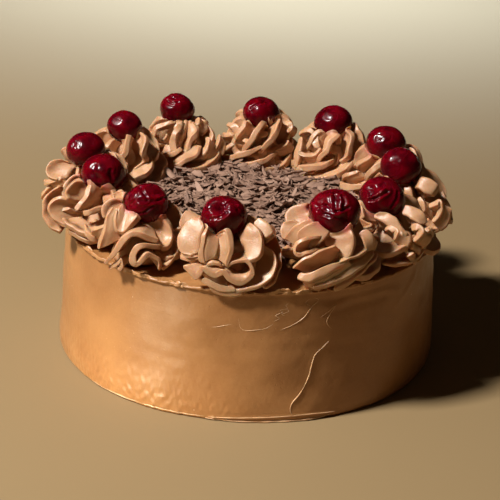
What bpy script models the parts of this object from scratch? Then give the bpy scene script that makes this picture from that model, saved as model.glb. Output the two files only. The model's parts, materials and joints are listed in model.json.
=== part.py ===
"""Black forest cake: a round cream-coated cake, a ring of twelve piped swirls with a cherry
on each, and a bed of chocolate shavings inside the ring.  Metres, +Z up, origin at the
centre of the flat base."""

import math

import bmesh
import bpy
from mathutils import Vector

MM = 0.001

# The cake: a 20 cm layer cake under a coat of cream, leaning in a little towards the top.
CAKE_HEIGHT = 69.5 * MM
FOOT_RADIUS = 104.6 * MM
TOP_RADIUS = 100.2 * MM
LIP_PROUD = 1.1 * MM
LIP_RISE = 0.4 * MM
CAKE_STEPS = 64

# The ring of swirls.  Each stands a little off its even place, as piped by hand.
SWIRL_COUNT = 12
FIRST_SWIRL_DEG = 236.0
RING_RADIUS = 86 * MM
SWIRL_STRAY_DEG = (-6.5, -2.0, 1.5, 0.0, 0.0, 0.0, 1.0, 2.0, 4.0, 4.0, 3.0, 0.0)
SWIRL_OUT_MM = (0.0, 0.0, 0.0, 0.0, -2.0, 0.0, 0.0, 0.0, 0.0, 0.0, 2.5, 0.0)
SWIRL_RADIUS_MM = (24.0, 25.0, 25.0, 24.5, 25.0, 24.5, 25.0, 25.0, 25.0, 24.5, 25.0, 23.5)
SWIRL_RIBS = 8
STEPS_PER_RIB = 3
SWIRL_TWIST_DEG = 78.0
RIB_DEPTH = 0.20
PETAL_LIFT = 1.8 * MM
RIM_WIDTH = 4.2 * MM
RIM_BELOW_CHERRY = 2.6 * MM

# The cherries: how far each sits from its swirl's middle, its centre's height and its width.
CHERRY_OUT_MM = (-1.9, -0.9, -1.2, -5.1, -4.9, -2.8, 0.0, 0.4, 5.6, 0.6, 2.3, -1.1)
CHERRY_ALONG_MM = (3.8, -4.1, 1.8, -1.7, 2.8, 1.3, 1.1, 0.1, 1.0, -1.5, 0.3, -1.5)
CHERRY_Z_MM = (100.5, 102.5, 103.5, 102.0, 104.3, 103.8, 103.5, 103.3, 105.0, 104.0, 103.5, 103.8)
CHERRY_WIDTH_MM = (22.0, 22.8, 25.4, 23.8, 22.6, 22.4, 22.8, 21.6, 21.2, 20.5, 21.4, 23.2)
CHERRY_SQUAT = 0.84
CHERRY_DENT = 0.05

# The bed of shavings, which fills the middle out to the swirls.
BED_DEPTH = 9.0 * MM
BED_WAVE = 1.3 * MM
BED_STEPS = 72

GAP = 0.35 * MM


def polar(radius, angle):
    """The flat vector of a length and an angle from +X."""
    return Vector((radius * math.cos(angle), radius * math.sin(angle), 0.0))


def make_material(name, colour, roughness):
    """A Principled material of one colour."""
    material = bpy.data.materials.new(name)
    material.use_nodes = True
    shader = material.node_tree.nodes["Principled BSDF"]
    shader.inputs["Base Color"].default_value = (*colour, 1.0)
    shader.inputs["Roughness"].default_value = roughness
    shader.inputs["Metallic"].default_value = 0.0
    return material


def turned(name, profile, steps):
    """A closed solid turned about Z from a profile of (radius, height), top pole to bottom pole."""
    outline = bpy.data.meshes.new(name + "_profile")
    edges = [(i, i + 1) for i in range(len(profile) - 1)]
    outline.from_pydata([(radius, 0.0, height) for radius, height in profile], edges, [])
    lathe = bpy.data.objects.new(name + "_profile", outline)
    bpy.context.scene.collection.objects.link(lathe)
    screw = lathe.modifiers.new("turn", "SCREW")
    screw.steps = steps
    screw.render_steps = steps
    screw.use_merge_vertices = True
    screw.merge_threshold = 0.00005
    depsgraph = bpy.context.evaluated_depsgraph_get()
    mesh = bpy.data.meshes.new_from_object(lathe.evaluated_get(depsgraph))
    mesh.name = name
    bpy.data.objects.remove(lathe)
    bpy.data.meshes.remove(outline)
    return mesh


def place(name, mesh, location, material, collection):
    """An object of a mesh, smooth all round, in the cake's collection."""
    mesh.materials.clear()
    mesh.materials.append(material)
    mesh.shade_smooth()
    piece = bpy.data.objects.new(name, mesh)
    piece.location = location
    collection.objects.link(piece)
    return piece


def swirl_angle(index):
    """Where a swirl stands round the ring, in radians from +X."""
    step = 360.0 / SWIRL_COUNT
    return math.radians(FIRST_SWIRL_DEG + step * index + SWIRL_STRAY_DEG[index])


def swirl_centre(index):
    """The middle of a swirl's foot, on the top of the cake."""
    centre = polar(RING_RADIUS + SWIRL_OUT_MM[index] * MM, swirl_angle(index))
    centre.z = CAKE_HEIGHT + LIP_RISE + GAP
    return centre


def cherry_centre(index):
    """The middle of a cherry, a little off its swirl's own middle."""
    angle = swirl_angle(index)
    centre = swirl_centre(index)
    centre += polar(CHERRY_OUT_MM[index] * MM, angle)
    centre += polar(CHERRY_ALONG_MM[index] * MM, angle + math.pi / 2)
    centre.z = CHERRY_Z_MM[index] * MM
    return centre


def ease(value):
    """A smooth rise from 0 to 1."""
    value = min(max(value, 0.0), 1.0)
    return value * value * (3.0 - 2.0 * value)


def build_cake(material, collection):
    """The coated cake: a turned solid whose side waves a little, with a ragged lip round the top."""
    lean = FOOT_RADIUS - TOP_RADIUS
    top = CAKE_HEIGHT
    profile = [
        (0.0, top),
        (TOP_RADIUS - 3.5 * MM, top),
        (TOP_RADIUS - 0.4 * MM, top + LIP_RISE),
        (TOP_RADIUS + LIP_PROUD, top - 0.3 * MM),
        (TOP_RADIUS + LIP_PROUD, top - 1.4 * MM),
        (TOP_RADIUS + 0.1 * lean, 0.955 * top),
        (TOP_RADIUS + 0.28 * lean, 0.78 * top),
        (TOP_RADIUS + 0.46 * lean, 0.55 * top),
        (TOP_RADIUS + 0.70 * lean, 0.30 * top),
        (FOOT_RADIUS, 0.08 * top),
        (FOOT_RADIUS - 0.2 * MM, 0.02 * top),
        (FOOT_RADIUS - 1.2 * MM, 0.0),
        (0.0, 0.0),
    ]
    mesh = turned("cake_body", profile, CAKE_STEPS)
    for vertex in mesh.vertices:
        point = vertex.co
        radius = math.hypot(point.x, point.y)
        if radius < 0.5 * TOP_RADIUS:
            continue
        angle = math.atan2(point.y, point.x)
        height = point.z / top
        wave = 0.30 * math.sin(2 * angle + 0.8) + 0.22 * math.sin(5 * angle + 4.0 * height)
        ragged = 0.30 * math.sin(11 * angle) + 0.25 * math.sin(17 * angle + 1.7)
        shift = (wave + ragged * ease((height - 0.95) / 0.04)) * MM
        point.x *= 1.0 + shift / radius
        point.y *= 1.0 + shift / radius
    return place("cake_body", mesh, (0.0, 0.0, 0.0), material, collection)


def hold_apart(point, index):
    """Press a point of a swirl back behind the planes midway to its two neighbours."""
    here = swirl_centre(index)
    for other in (index - 1, (index + 1) % SWIRL_COUNT):
        towards = swirl_centre(other) - here
        limit = towards.length / 2 - GAP
        towards.normalize()
        past = point.dot(towards) - limit
        if past > 0.0:
            point -= towards * past
    return point


def build_swirl(index, material, collection):
    """A piped swirl: a low turned form in two tiers, ribbed, twisted, and hollowed on top for
    the cherry that it holds; its upper tier leans towards where the cherry sits."""
    centre = swirl_centre(index)
    cherry = cherry_centre(index)
    width = SWIRL_RADIUS_MM[index] * MM
    tall = cherry.z - RIM_BELOW_CHERRY - centre.z
    cherry_half = CHERRY_WIDTH_MM[index] * MM / 2 + GAP
    cherry_low = cherry_half * CHERRY_SQUAT
    seat = cherry.z - centre.z

    def dish(radius):
        """Height of the hollow under the cherry, which follows the cherry's own underside."""
        return seat - cherry_low * math.sqrt(1 - (radius / cherry_half) ** 2) - 2 * GAP

    hollow = 0.45 * cherry_half
    brim = 0.80 * cherry_half
    profile = [
        (0.0, dish(0.0)),
        (hollow, dish(hollow)),
        (brim, dish(brim)),
        (cherry_half + RIM_WIDTH, tall),
        (0.78 * width, 0.87 * tall),
        (0.88 * width, 0.68 * tall),
        (0.84 * width, 0.50 * tall),
        (0.98 * width, 0.34 * tall),
        (width, 0.18 * tall),
        (0.88 * width, 0.0),
        (0.0, 0.0),
    ]
    steps = SWIRL_RIBS * STEPS_PER_RIB
    mesh = turned("swirl", profile, steps)
    lean = Vector((cherry.x - centre.x, cherry.y - centre.y, 0.0))
    start = math.radians(19.0 * index)
    for vertex in mesh.vertices:
        point = vertex.co
        radius = math.hypot(point.x, point.y)
        height = point.z / tall
        turn = math.atan2(point.y, point.x)
        step = round(turn / (2 * math.pi / steps)) % STEPS_PER_RIB
        groove = (0.0, 1.0, 0.45)[step] * RIB_DEPTH
        outer = ease((radius - brim) / (0.5 * MM))
        radius *= 1.0 - groove * outer * (0.6 + 0.4 * min(height, 1.0))
        rise = PETAL_LIFT * (0.5 - groove / RIB_DEPTH) * outer * ease((height - 0.7) / 0.3)
        angle = turn + start + math.radians(SWIRL_TWIST_DEG) * height
        moved = polar(radius, angle) + lean * ease((height - 0.35) / 0.5)
        moved.z = point.z + rise
        vertex.co = hold_apart(moved, index)
    name = f"swirl_{index + 1:02d}"
    return place(name, mesh, centre, material, collection)


def build_cherry(index, material, collection):
    """A squat cherry with shallow dents, each turned its own way."""
    mesh = bpy.data.meshes.new("cherry")
    form = bmesh.new()
    bmesh.ops.create_uvsphere(form, u_segments=12, v_segments=7, radius=1.0)
    half = CHERRY_WIDTH_MM[index] * MM / 2
    start = 1.9 * index
    for vertex in form.verts:
        point = vertex.co
        angle = math.atan2(point.y, point.x)
        dent = math.sin(2 * angle + start) * math.sin(3 * point.z + start)
        size = half * (1.0 - CHERRY_DENT * max(dent, 0.0))
        point.x *= size
        point.y *= size
        point.z *= size * CHERRY_SQUAT
    form.to_mesh(mesh)
    form.free()
    name = f"cherry_{index + 1:02d}"
    return place(name, mesh, cherry_centre(index), material, collection)


def bed_reach(angle):
    """How far the bed runs out from the middle before it comes to a swirl."""
    reach = RING_RADIUS
    for index in range(SWIRL_COUNT):
        centre = swirl_centre(index)
        away = math.hypot(centre.x, centre.y)
        clear = SWIRL_RADIUS_MM[index] * MM + 2 * GAP
        off = angle - math.atan2(centre.y, centre.x)
        if math.cos(off) > 0.0 and abs(away * math.sin(off)) < clear:
            side = away * math.sin(off)
            reach = min(reach, away * math.cos(off) - math.sqrt(clear * clear - side * side))
    return min(reach, 0.84 * RING_RADIUS)


def build_bed(material, collection):
    """The bed of shavings: a low uneven heap, scalloped where the swirls stand round it."""
    profile = [
        (0.0, BED_DEPTH),
        (0.30, BED_DEPTH),
        (0.58, BED_DEPTH),
        (0.82, 0.97 * BED_DEPTH),
        (0.95, 0.80 * BED_DEPTH),
        (1.0, 0.45 * BED_DEPTH),
        (0.99, 0.0),
        (0.0, 0.0),
    ]
    mesh = turned("chocolate_shavings", profile, BED_STEPS)
    for vertex in mesh.vertices:
        point = vertex.co
        angle = math.atan2(point.y, point.x)
        share = math.hypot(point.x, point.y)
        reach = bed_reach(angle)
        point.x *= reach
        point.y *= reach
        if point.z > 0.3 * BED_DEPTH:
            across = math.sin(95.0 * point.x + 1.0) * math.sin(120.0 * point.y + 0.4)
            point.z += BED_WAVE * (across + 0.4 * share * math.sin(9 * angle))
    location = (0.0, 0.0, CAKE_HEIGHT + LIP_RISE + GAP)
    return place("chocolate_shavings", mesh, location, material, collection)


def main():
    for old in list(bpy.data.objects):
        bpy.data.objects.remove(old)
    collection = bpy.data.collections.new("black_forest_cake")
    bpy.context.scene.collection.children.link(collection)
    cream = make_material("chocolate_cream", (0.40, 0.21, 0.11), 0.5)
    skin = make_material("cherry_skin", (0.13, 0.01, 0.02), 0.15)
    shaved = make_material("shaved_chocolate", (0.10, 0.065, 0.05), 0.8)
    build_cake(cream, collection)
    for index in range(SWIRL_COUNT):
        build_swirl(index, cream, collection)
        build_cherry(index, skin, collection)
    build_bed(shaved, collection)


main()
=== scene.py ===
import json
import math

import bpy
import numpy as np
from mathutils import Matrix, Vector

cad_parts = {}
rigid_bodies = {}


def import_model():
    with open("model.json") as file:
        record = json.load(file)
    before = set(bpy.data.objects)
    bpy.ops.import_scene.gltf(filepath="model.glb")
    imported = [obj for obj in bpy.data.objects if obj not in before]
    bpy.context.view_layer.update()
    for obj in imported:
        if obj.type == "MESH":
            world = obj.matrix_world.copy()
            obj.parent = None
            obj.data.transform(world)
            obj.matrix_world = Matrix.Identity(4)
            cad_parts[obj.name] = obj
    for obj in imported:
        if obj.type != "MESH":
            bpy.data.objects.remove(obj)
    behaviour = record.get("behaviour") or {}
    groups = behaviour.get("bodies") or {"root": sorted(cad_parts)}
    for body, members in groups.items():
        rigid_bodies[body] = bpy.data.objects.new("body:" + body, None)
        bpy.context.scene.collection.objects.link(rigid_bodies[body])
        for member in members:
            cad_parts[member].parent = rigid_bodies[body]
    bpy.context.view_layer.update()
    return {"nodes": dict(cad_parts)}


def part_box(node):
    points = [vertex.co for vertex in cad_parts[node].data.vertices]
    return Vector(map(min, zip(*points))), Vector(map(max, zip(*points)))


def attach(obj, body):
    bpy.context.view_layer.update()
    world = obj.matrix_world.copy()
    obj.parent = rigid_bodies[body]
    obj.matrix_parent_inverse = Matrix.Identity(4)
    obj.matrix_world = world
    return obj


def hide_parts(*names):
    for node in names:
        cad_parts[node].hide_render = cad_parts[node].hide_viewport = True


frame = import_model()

# ---------------------------------------------------------------------------------------
# The cream coat.  Chocolate buttercream, spread over the whole cake with a palette knife
# and drawn smooth with a scraper held upright, which leaves faint bands round the side,
# shallow dimples, and a thin ragged lip of cream standing up round the top edge.
# ---------------------------------------------------------------------------------------

MM = 0.001
cake_low, cake_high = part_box("cake_body")
CAKE_TOP = cake_high.z - 0.4 * MM
FOOT_RADIUS = (cake_high.x - cake_low.x) / 2 - 0.3 * MM
EDGE_RADIUS = 0.958 * FOOT_RADIUS


def random_field(points, size, seed, waves=22):
    """A smooth random field of unit spread: the sum of plane waves about one size long, each
    with its own direction, pace and phase, over the root of half their number."""
    draw = np.random.default_rng(seed)
    way = draw.normal(size=(waves, 3))
    way *= (2 * np.pi / size * draw.uniform(0.7, 1.4, waves) / np.linalg.norm(way, axis=1))[:, None]
    phase = draw.uniform(0, 2 * np.pi, waves)
    total = np.zeros(points.shape[:-1])
    for direction, start in zip(way, phase):
        total += np.cos(points @ direction + start)
    return total / math.sqrt(waves / 2)


def ease(value):
    """A smooth rise from 0 to 1, flat at both ends: 3v squared less 2v cubed."""
    value = np.clip(value, 0.0, 1.0)
    return value * value * (3 - 2 * value)


def lofted(name, rings):
    """A closed mesh through rings of points, shaped (pieces, rings, points round, 3): quads
    join each ring to the next, and a fan closes each end on the middle of its ring."""
    if rings.ndim == 3:
        rings = rings[None]
    pieces, count, around, _ = rings.shape
    ends = rings[:, [0, -1]].mean(axis=2)
    points = np.concatenate([rings.reshape(pieces, -1, 3), ends], axis=1)
    first = np.arange(around)
    after = (first + 1) % around
    level = (np.arange(count - 1) * around)[:, None]
    sides = np.stack([level + first, level + after, level + around + after, level + around + first], -1)
    sides = sides.reshape(-1, 4)
    last = (count - 1) * around
    head = np.stack([after, first, np.full(around, count * around)], -1)
    tail = np.stack([last + first, last + after, np.full(around, count * around + 1)], -1)
    fans = np.concatenate([head, tail])
    a, b, c, d = (points[0][sides[:, i]] for i in range(4))
    volume = (a * np.cross(b, c)).sum() + (a * np.cross(c, d)).sum()
    a, b, c = (points[0][fans[:, i]] for i in range(3))
    volume += (a * np.cross(b, c)).sum()
    if volume < 0:
        sides, fans = sides[:, ::-1], fans[:, ::-1]
    shift = (np.arange(pieces) * (count * around + 2))[:, None, None]
    sides = (sides[None] + shift).reshape(-1)
    fans = (fans[None] + shift).reshape(-1)
    mesh = bpy.data.meshes.new(name)
    mesh.vertices.add(points.shape[0] * points.shape[1])
    mesh.vertices.foreach_set("co", points.astype(np.float32).reshape(-1))
    mesh.loops.add(len(sides) + len(fans))
    mesh.loops.foreach_set("vertex_index", np.concatenate([sides, fans]).astype(np.int32))
    corners = np.concatenate([np.full(len(sides) // 4, 4), np.full(len(fans) // 3, 3)])
    mesh.polygons.add(len(corners))
    mesh.polygons.foreach_set("loop_start", (np.cumsum(corners) - corners).astype(np.int32))
    mesh.update(calc_edges=True)
    mesh.validate()
    mesh.shade_smooth()
    piece = bpy.data.objects.new(name, mesh)
    bpy.context.scene.collection.objects.link(piece)
    return piece


def tint(piece, name, values):
    """Keeps one number for each point of a piece, for its material to read."""
    mesh = piece.data
    kept = np.zeros(len(mesh.vertices), np.float32)
    flat = np.asarray(values, np.float32).reshape(-1)
    kept[: len(flat)] = flat
    mesh.attributes.new(name, "FLOAT", "POINT").data.foreach_set("value", kept)


def fit(piece, material, slot, *nodes):
    """Gives a piece its material, and its place on the cake in the stead of CAD nodes."""
    piece.data.materials.append(material)
    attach(piece, "root")
    if nodes:
        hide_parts(*nodes)


class Recipe:
    """A material's node tree, with short ways to add a texture, a ramp, a mix or a sum."""

    def __init__(self, name, roughness, specular=0.5):
        self.material = bpy.data.materials.new(name)
        self.material.use_nodes = True
        self.nodes = self.material.node_tree.nodes
        self.links = self.material.node_tree.links
        self.shader = self.nodes["Principled BSDF"]
        self.shader.inputs["Roughness"].default_value = roughness
        self.shader.inputs["Specular IOR Level"].default_value = specular
        self.place = self.nodes.new("ShaderNodeTexCoord").outputs["Object"]

    def put(self, target, value):
        """Links a node's output into an input, or sets the input to a plain value."""
        if isinstance(value, bpy.types.NodeSocket):
            self.links.new(value, target)
        else:
            target.default_value = value

    def noise(self, size, detail=3.0, roughness=0.5, stretch=(1, 1, 1)):
        """Noise about one size long, drawn out along each axis by stretch."""
        turn = self.nodes.new("ShaderNodeMapping")
        turn.inputs["Scale"].default_value = [1 / (size * s) for s in stretch]
        self.links.new(self.place, turn.inputs["Vector"])
        texture = self.nodes.new("ShaderNodeTexNoise")
        texture.inputs["Scale"].default_value = 1.0
        texture.inputs["Detail"].default_value = detail
        texture.inputs["Roughness"].default_value = roughness
        self.links.new(turn.outputs["Vector"], texture.inputs["Vector"])
        return texture.outputs["Fac"]

    def specks(self, size, share):
        """Round specks of a size apart, each share of that across: 1 inside, 0 outside."""
        turn = self.nodes.new("ShaderNodeMapping")
        turn.inputs["Scale"].default_value = [1 / size] * 3
        self.links.new(self.place, turn.inputs["Vector"])
        texture = self.nodes.new("ShaderNodeTexVoronoi")
        texture.inputs["Scale"].default_value = 1.0
        self.links.new(turn.outputs["Vector"], texture.inputs["Vector"])
        return self.ramp(texture.outputs["Distance"], 0.35 * share, 1.0, share, 0.0)

    def ramp(self, value, low, low_out, high, high_out):
        """Takes the span from low to high over to the span of two outputs, held past them."""
        node = self.nodes.new("ShaderNodeMapRange")
        for key, number in zip(("From Min", "From Max", "To Min", "To Max"), (low, high, low_out, high_out)):
            node.inputs[key].default_value = number
        self.put(node.inputs["Value"], value)
        return node.outputs["Result"]

    def maths(self, operation, first, second):
        """One sum, product or power of two values."""
        node = self.nodes.new("ShaderNodeMath")
        node.operation = operation
        self.put(node.inputs[0], first)
        self.put(node.inputs[1], second)
        return node.outputs["Value"]

    def blend(self, share, first, second):
        """A colour between two, by a share."""
        node = self.nodes.new("ShaderNodeMix")
        node.data_type = "RGBA"
        self.put(node.inputs[0], share)
        for socket, colour in ((node.inputs[6], first), (node.inputs[7], second)):
            self.put(socket, colour if isinstance(colour, bpy.types.NodeSocket) else (*colour, 1.0))
        return node.outputs[2]

    def attribute(self, name):
        """A number kept on each point by tint."""
        node = self.nodes.new("ShaderNodeAttribute")
        node.attribute_name = name
        return node.outputs["Fac"]

    def bump(self, height, depth):
        """Fine relief of a depth in metres."""
        node = self.nodes.new("ShaderNodeBump")
        node.inputs["Strength"].default_value = 1.0
        node.inputs["Distance"].default_value = depth
        self.put(node.inputs["Height"], height)
        old = self.shader.inputs["Normal"].links
        if old:
            self.links.new(old[0].from_socket, node.inputs["Normal"])
        self.links.new(node.outputs["Normal"], self.shader.inputs["Normal"])


def srgb(red, green, blue):
    """A colour given in 0 to 255 steps, as the shader's straight-line values."""
    steps = (red, green, blue)
    return tuple((c / 255 / 12.92) if c <= 10 else ((c / 255 + 0.055) / 1.055) ** 2.4 for c in steps)


def buttercream(name, deep, middle, pale, sleek=0.28, dull=0.40, grain=0.05):
    """Chocolate buttercream: satin, uneven in colour, with tiny bubbles and a fine grain."""
    look = Recipe(name, 0.36)
    cloud = look.ramp(look.noise(22 * MM, 4), 0.3, 0.0, 0.7, 1.0)
    fine = look.ramp(look.noise(1.4 * MM, 3, 0.6), 0.3, 0.0, 0.75, 1.0)
    base = look.blend(cloud, deep, middle)
    base = look.blend(look.maths("MULTIPLY", fine, 0.18), base, pale)
    look.base = base
    look.put(look.shader.inputs["Base Color"], base)
    gloss = look.ramp(look.noise(6 * MM, 3), 0.3, sleek, 0.7, dull)
    look.put(look.shader.inputs["Roughness"], gloss)
    look.shader.inputs["Subsurface Weight"].default_value = 0.12
    look.shader.inputs["Subsurface Radius"].default_value = (1.0, 0.5, 0.25)
    look.shader.inputs["Subsurface Scale"].default_value = 2 * MM
    look.bump(look.noise(0.55 * MM, 3, 0.6), grain * MM)
    look.bump(look.specks(3.1 * MM, 0.11), -0.12 * MM)
    return look


CREAM_DEEP = srgb(156, 105, 60)
CREAM_MIDDLE = srgb(172, 121, 73)
CREAM_PALE = srgb(193, 143, 96)


def smooth_curve(corners, steps):
    """A smooth curve through a few points: between each two a cubic, whose slope at a point is
    half the way from the point before to the point after."""
    corners = np.asarray(corners, float)
    first, last = 2 * corners[0] - corners[1], 2 * corners[-1] - corners[-2]
    held = np.concatenate([[first], corners, [last]])
    at = np.linspace(0, len(corners) - 1, steps)
    span = np.minimum(at.astype(int), len(corners) - 2)
    u = (at - span)[:, None]
    a, b, c, d = (held[span + k] for k in range(4))
    bend, twist = 2 * a - 5 * b + 4 * c - d, 3 * b - a - 3 * c + d
    curve = 0.5 * (2 * b + (c - a) * u + bend * u ** 2 + twist * u ** 3)
    gone = np.concatenate([[0], np.cumsum(np.linalg.norm(np.diff(curve, axis=0), axis=1))])
    even = np.linspace(0, gone[-1], steps)
    return np.stack([np.interp(even, gone, curve[:, k]) for k in range(3)], -1), gone[-1]


# Creases in the side: corners as (degrees round, mm high), then width and lift in mm.  The long
# one is jagged, as cream is where it tears.
LONG_CREASE = [(294.2, 42.2), (292.4, 39.2), (290.4, 36.4), (289.7, 34.2), (288.9, 28.5), (288.4, 24.5),
               (287.3, 19.5), (285.9, 15), (284.2, 11.2), (283.6, 9), (283.5, 6.5), (284.1, 3.9)]
SIDE_CREASES = (
    (LONG_CREASE, 1.6, 0.12),
    ([(261, 1.9), (270, 3.2), (283.6, 3.8), (297, 2.8)], 0.7, 0.25),
    ([(263, 1.2), (275, 1.8), (290, 2.0), (296, 1.7)], 0.8, -0.5),
    ([(294, 59.7), (300, 62), (313, 62.3), (320, 59)], 1.8, 0.30),
    ([(294, 56.5), (302, 59), (314, 58.5)], 2.0, -0.22),
    ([(319, 52), (323, 56), (328, 61), (330, 66)], 1.6, 0.30),
    ([(246, 60), (256, 57.5), (268, 58.5)], 3.0, -0.12),
    ([(205, 52), (216, 49), (229, 50)], 3.0, 0.12),
)


def distance_to(path, angle, height):
    """How far each point of the side lies from a path of (degrees, mm high) corners, in mm."""
    scale = FOOT_RADIUS / MM
    across, up = angle * scale, height / MM
    nearest = np.full(angle.shape, 1e3)
    for (a0, z0), (a1, z1) in zip(path[:-1], path[1:]):
        x0, x1 = math.radians(a0) * scale, math.radians(a1) * scale
        dx, dz = x1 - x0, z1 - z0
        part = np.clip(((across - x0) * dx + (up - z0) * dz) / (dx * dx + dz * dz), 0, 1)
        nearest = np.minimum(nearest, np.hypot(across - x0 - part * dx, up - z0 - part * dz))
    return nearest


def side_radius(height):
    """The side leans in from the foot to the top edge, a little hollow under the edge."""
    share = height / CAKE_TOP
    lean = np.interp(share, [0, 0.08, 0.3, 0.55, 0.78, 0.93, 1.0], [0.98, 1.0, 0.70, 0.46, 0.28, 0.06, 0.0])
    return EDGE_RADIUS + (FOOT_RADIUS - EDGE_RADIUS) * lean


def spread_side(angle, height):
    """How far the scraped side stands out, in metres: broad waves round the cake, faint level
    bands left by the scraper, upright dimples low on the left, and a few raised creases."""
    share = height / CAKE_TOP
    here = np.stack([FOOT_RADIUS * np.cos(angle), FOOT_RADIUS * np.sin(angle), height], -1)
    broad = 0.30 * np.sin(2 * angle + 0.8) + 0.22 * np.sin(5 * angle + 4 * share)
    bands = 0.03 * random_field(here * (0.05, 0.05, 1.0), 6 * MM, 11)
    swell = 0.18 * random_field(here, 34 * MM, 12) + 0.03 * random_field(here, 12 * MM, 13)
    left = np.exp(-(((np.degrees(angle) - 236) / 24) ** 2)) * ease((30 * MM - height) / (24 * MM))
    dimples = (0.014 + 0.11 * left) * random_field(here * (1.0, 1.0, 0.6), 2.9 * MM, 14)
    total = broad + bands + swell + dimples
    for path, width, lift in SIDE_CREASES:
        total += lift * np.exp(-((distance_to(path, angle, height) / width) ** 2))
    return total * MM


def lip_height(angle):
    """How high the thin lip stands, in mm: an uneven rim, ragged where it is torn."""
    rim = np.stack([np.cos(angle), np.sin(angle), 0 * angle], -1) * EDGE_RADIUS
    uneven = 0.42 + 0.24 * random_field(rim, 15 * MM, 21) + 0.15 * random_field(rim, 5 * MM, 22)
    torn = ease(random_field(rim, 24 * MM, 24) + 0.3)
    return np.clip(uneven + (0.06 + 0.12 * torn) * random_field(rim, 2.2 * MM, 23), 0.05, 1.6)


ROUND_STEPS = 1000
angle = np.linspace(0, 2 * np.pi, ROUND_STEPS, endpoint=False)
lip = lip_height(angle)
rim = np.stack([np.cos(angle), np.sin(angle), 0 * angle], -1) * EDGE_RADIUS
outer = 0.55 + 0.5 * lip + 0.25 * random_field(rim, 6 * MM, 25)
rings = []
for radius in EDGE_RADIUS / MM * np.array([0.04, 0.3, 0.55, 0.68, 0.76, 0.82, 0.87, 0.91, 0.935, 0.95]):
    flat = np.stack([radius * np.cos(angle), radius * np.sin(angle), 0 * angle], -1) * MM
    flat[:, 2] = CAKE_TOP + 0.14 * MM * random_field(flat, 7 * MM, 31)
    rings.append(flat)
# The lip in section: mm out from the edge, share of how proud it stands, share of its height,
# and mm down from the top.
for out, proud, up, drop in (
    (-3.4, 0.0, 0.10, 0.0), (-2.2, 0.0, 0.28, 0.0), (-1.3, 0.0, 0.62, 0.0), (-0.7, 0.1, 0.92, 0.0),
    (-0.3, 0.3, 1.0, 0.0), (-0.1, 0.6, 0.98, 0.05), (0.0, 0.9, 0.80, 0.15), (0.0, 1.0, 0.45, 0.3),
    (0.0, 0.95, 0.0, 0.55), (0.0, 0.6, 0.0, 0.85), (0.0, 0.25, 0.0, 1.2), (0.0, 0.05, 0.0, 1.8),
):
    radius = EDGE_RADIUS / MM + out + proud * outer + 0.12 * np.sin(2 * angle + 0.8)
    height = CAKE_TOP / MM + up * lip - drop
    rings.append(np.stack([radius * np.cos(angle), radius * np.sin(angle), height], -1) * MM)
side_levels = np.concatenate([np.linspace(CAKE_TOP / MM - 2.8, 9.6, 46), np.linspace(9.1, 1.3, 20)])
for height in side_levels * MM:
    level = np.full(ROUND_STEPS, height)
    radius = side_radius(level) + spread_side(angle, level) * ease((CAKE_TOP - 1.6 * MM - level) / (4 * MM))
    rings.append(np.stack([radius * np.cos(angle), radius * np.sin(angle), level], -1))
foot = rings[-1]
for share, height in ((0.999, 1.0), (0.996, 0.45), (0.990, 0.1), (0.98, 0.0), (0.6, 0.0), (0.1, 0.0)):
    rings.append(foot * (share, share, 0) + (0, 0, height * MM))
coat = lofted("cream_coat", np.array(rings))
coat_look = buttercream("Spread buttercream", CREAM_DEEP, CREAM_MIDDLE, CREAM_PALE)
coat_look.bump(coat_look.noise(1.6 * MM, 3, 0.5, (9, 9, 0.8)), 0.03 * MM)
# Pale near-white specks over the coat are painted glints: they stand in for light caught by tiny bubbles in
# the cream.
painted_glint_specks = coat_look.maths("MULTIPLY", coat_look.specks(9 * MM, 0.045), 0.8)
base_with_painted_glints = coat_look.blend(painted_glint_specks, coat_look.base, srgb(250, 222, 186))
coat_look.put(coat_look.shader.inputs["Base Color"], base_with_painted_glints)
fit(coat, coat_look.material, "coat_cream", "cake_body")


def threads(name, paths, stations=90, around=8):
    """Thin threads of cream standing on the side: round sections along smooth paths given as
    (degrees round, mm high), each with its own size and how deep it is sunk, in mm, tapering
    off at both ends."""
    beat = np.linspace(0, 2 * np.pi, around, endpoint=False)
    along = np.linspace(0, 1, stations)
    pieces = []
    for number, (path, size, sunk) in enumerate(paths):
        corners = np.array([(a * FOOT_RADIUS / MM * math.pi / 180, z, 0) for a, z in path])
        curve, _ = smooth_curve(corners, stations)
        turn, rise = curve[:, 0] * MM / FOOT_RADIUS, curve[:, 1] * MM
        out = side_radius(rise) + spread_side(turn, rise) - sunk * MM
        middle = np.stack([out * np.cos(turn), out * np.sin(turn), rise], -1)
        swell = size * (1 + 0.22 * random_field(curve * MM, 9 * MM, 61 + number))
        swell = swell * np.sin(np.pi * np.clip(along, 0.01, 0.99)) ** 0.35
        facing = np.stack([np.cos(turn), np.sin(turn), 0 * turn], -1)
        run = np.gradient(middle, axis=0)
        beside = np.cross(facing, run / np.linalg.norm(run, axis=1, keepdims=True))
        section = facing[:, None] * np.cos(beat)[None, :, None]
        section = section + beside[:, None] * np.sin(beat)[None, :, None]
        pieces.append(middle[:, None] + section * swell[:, None, None] * MM)
    return lofted(name, np.array(pieces))
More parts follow.
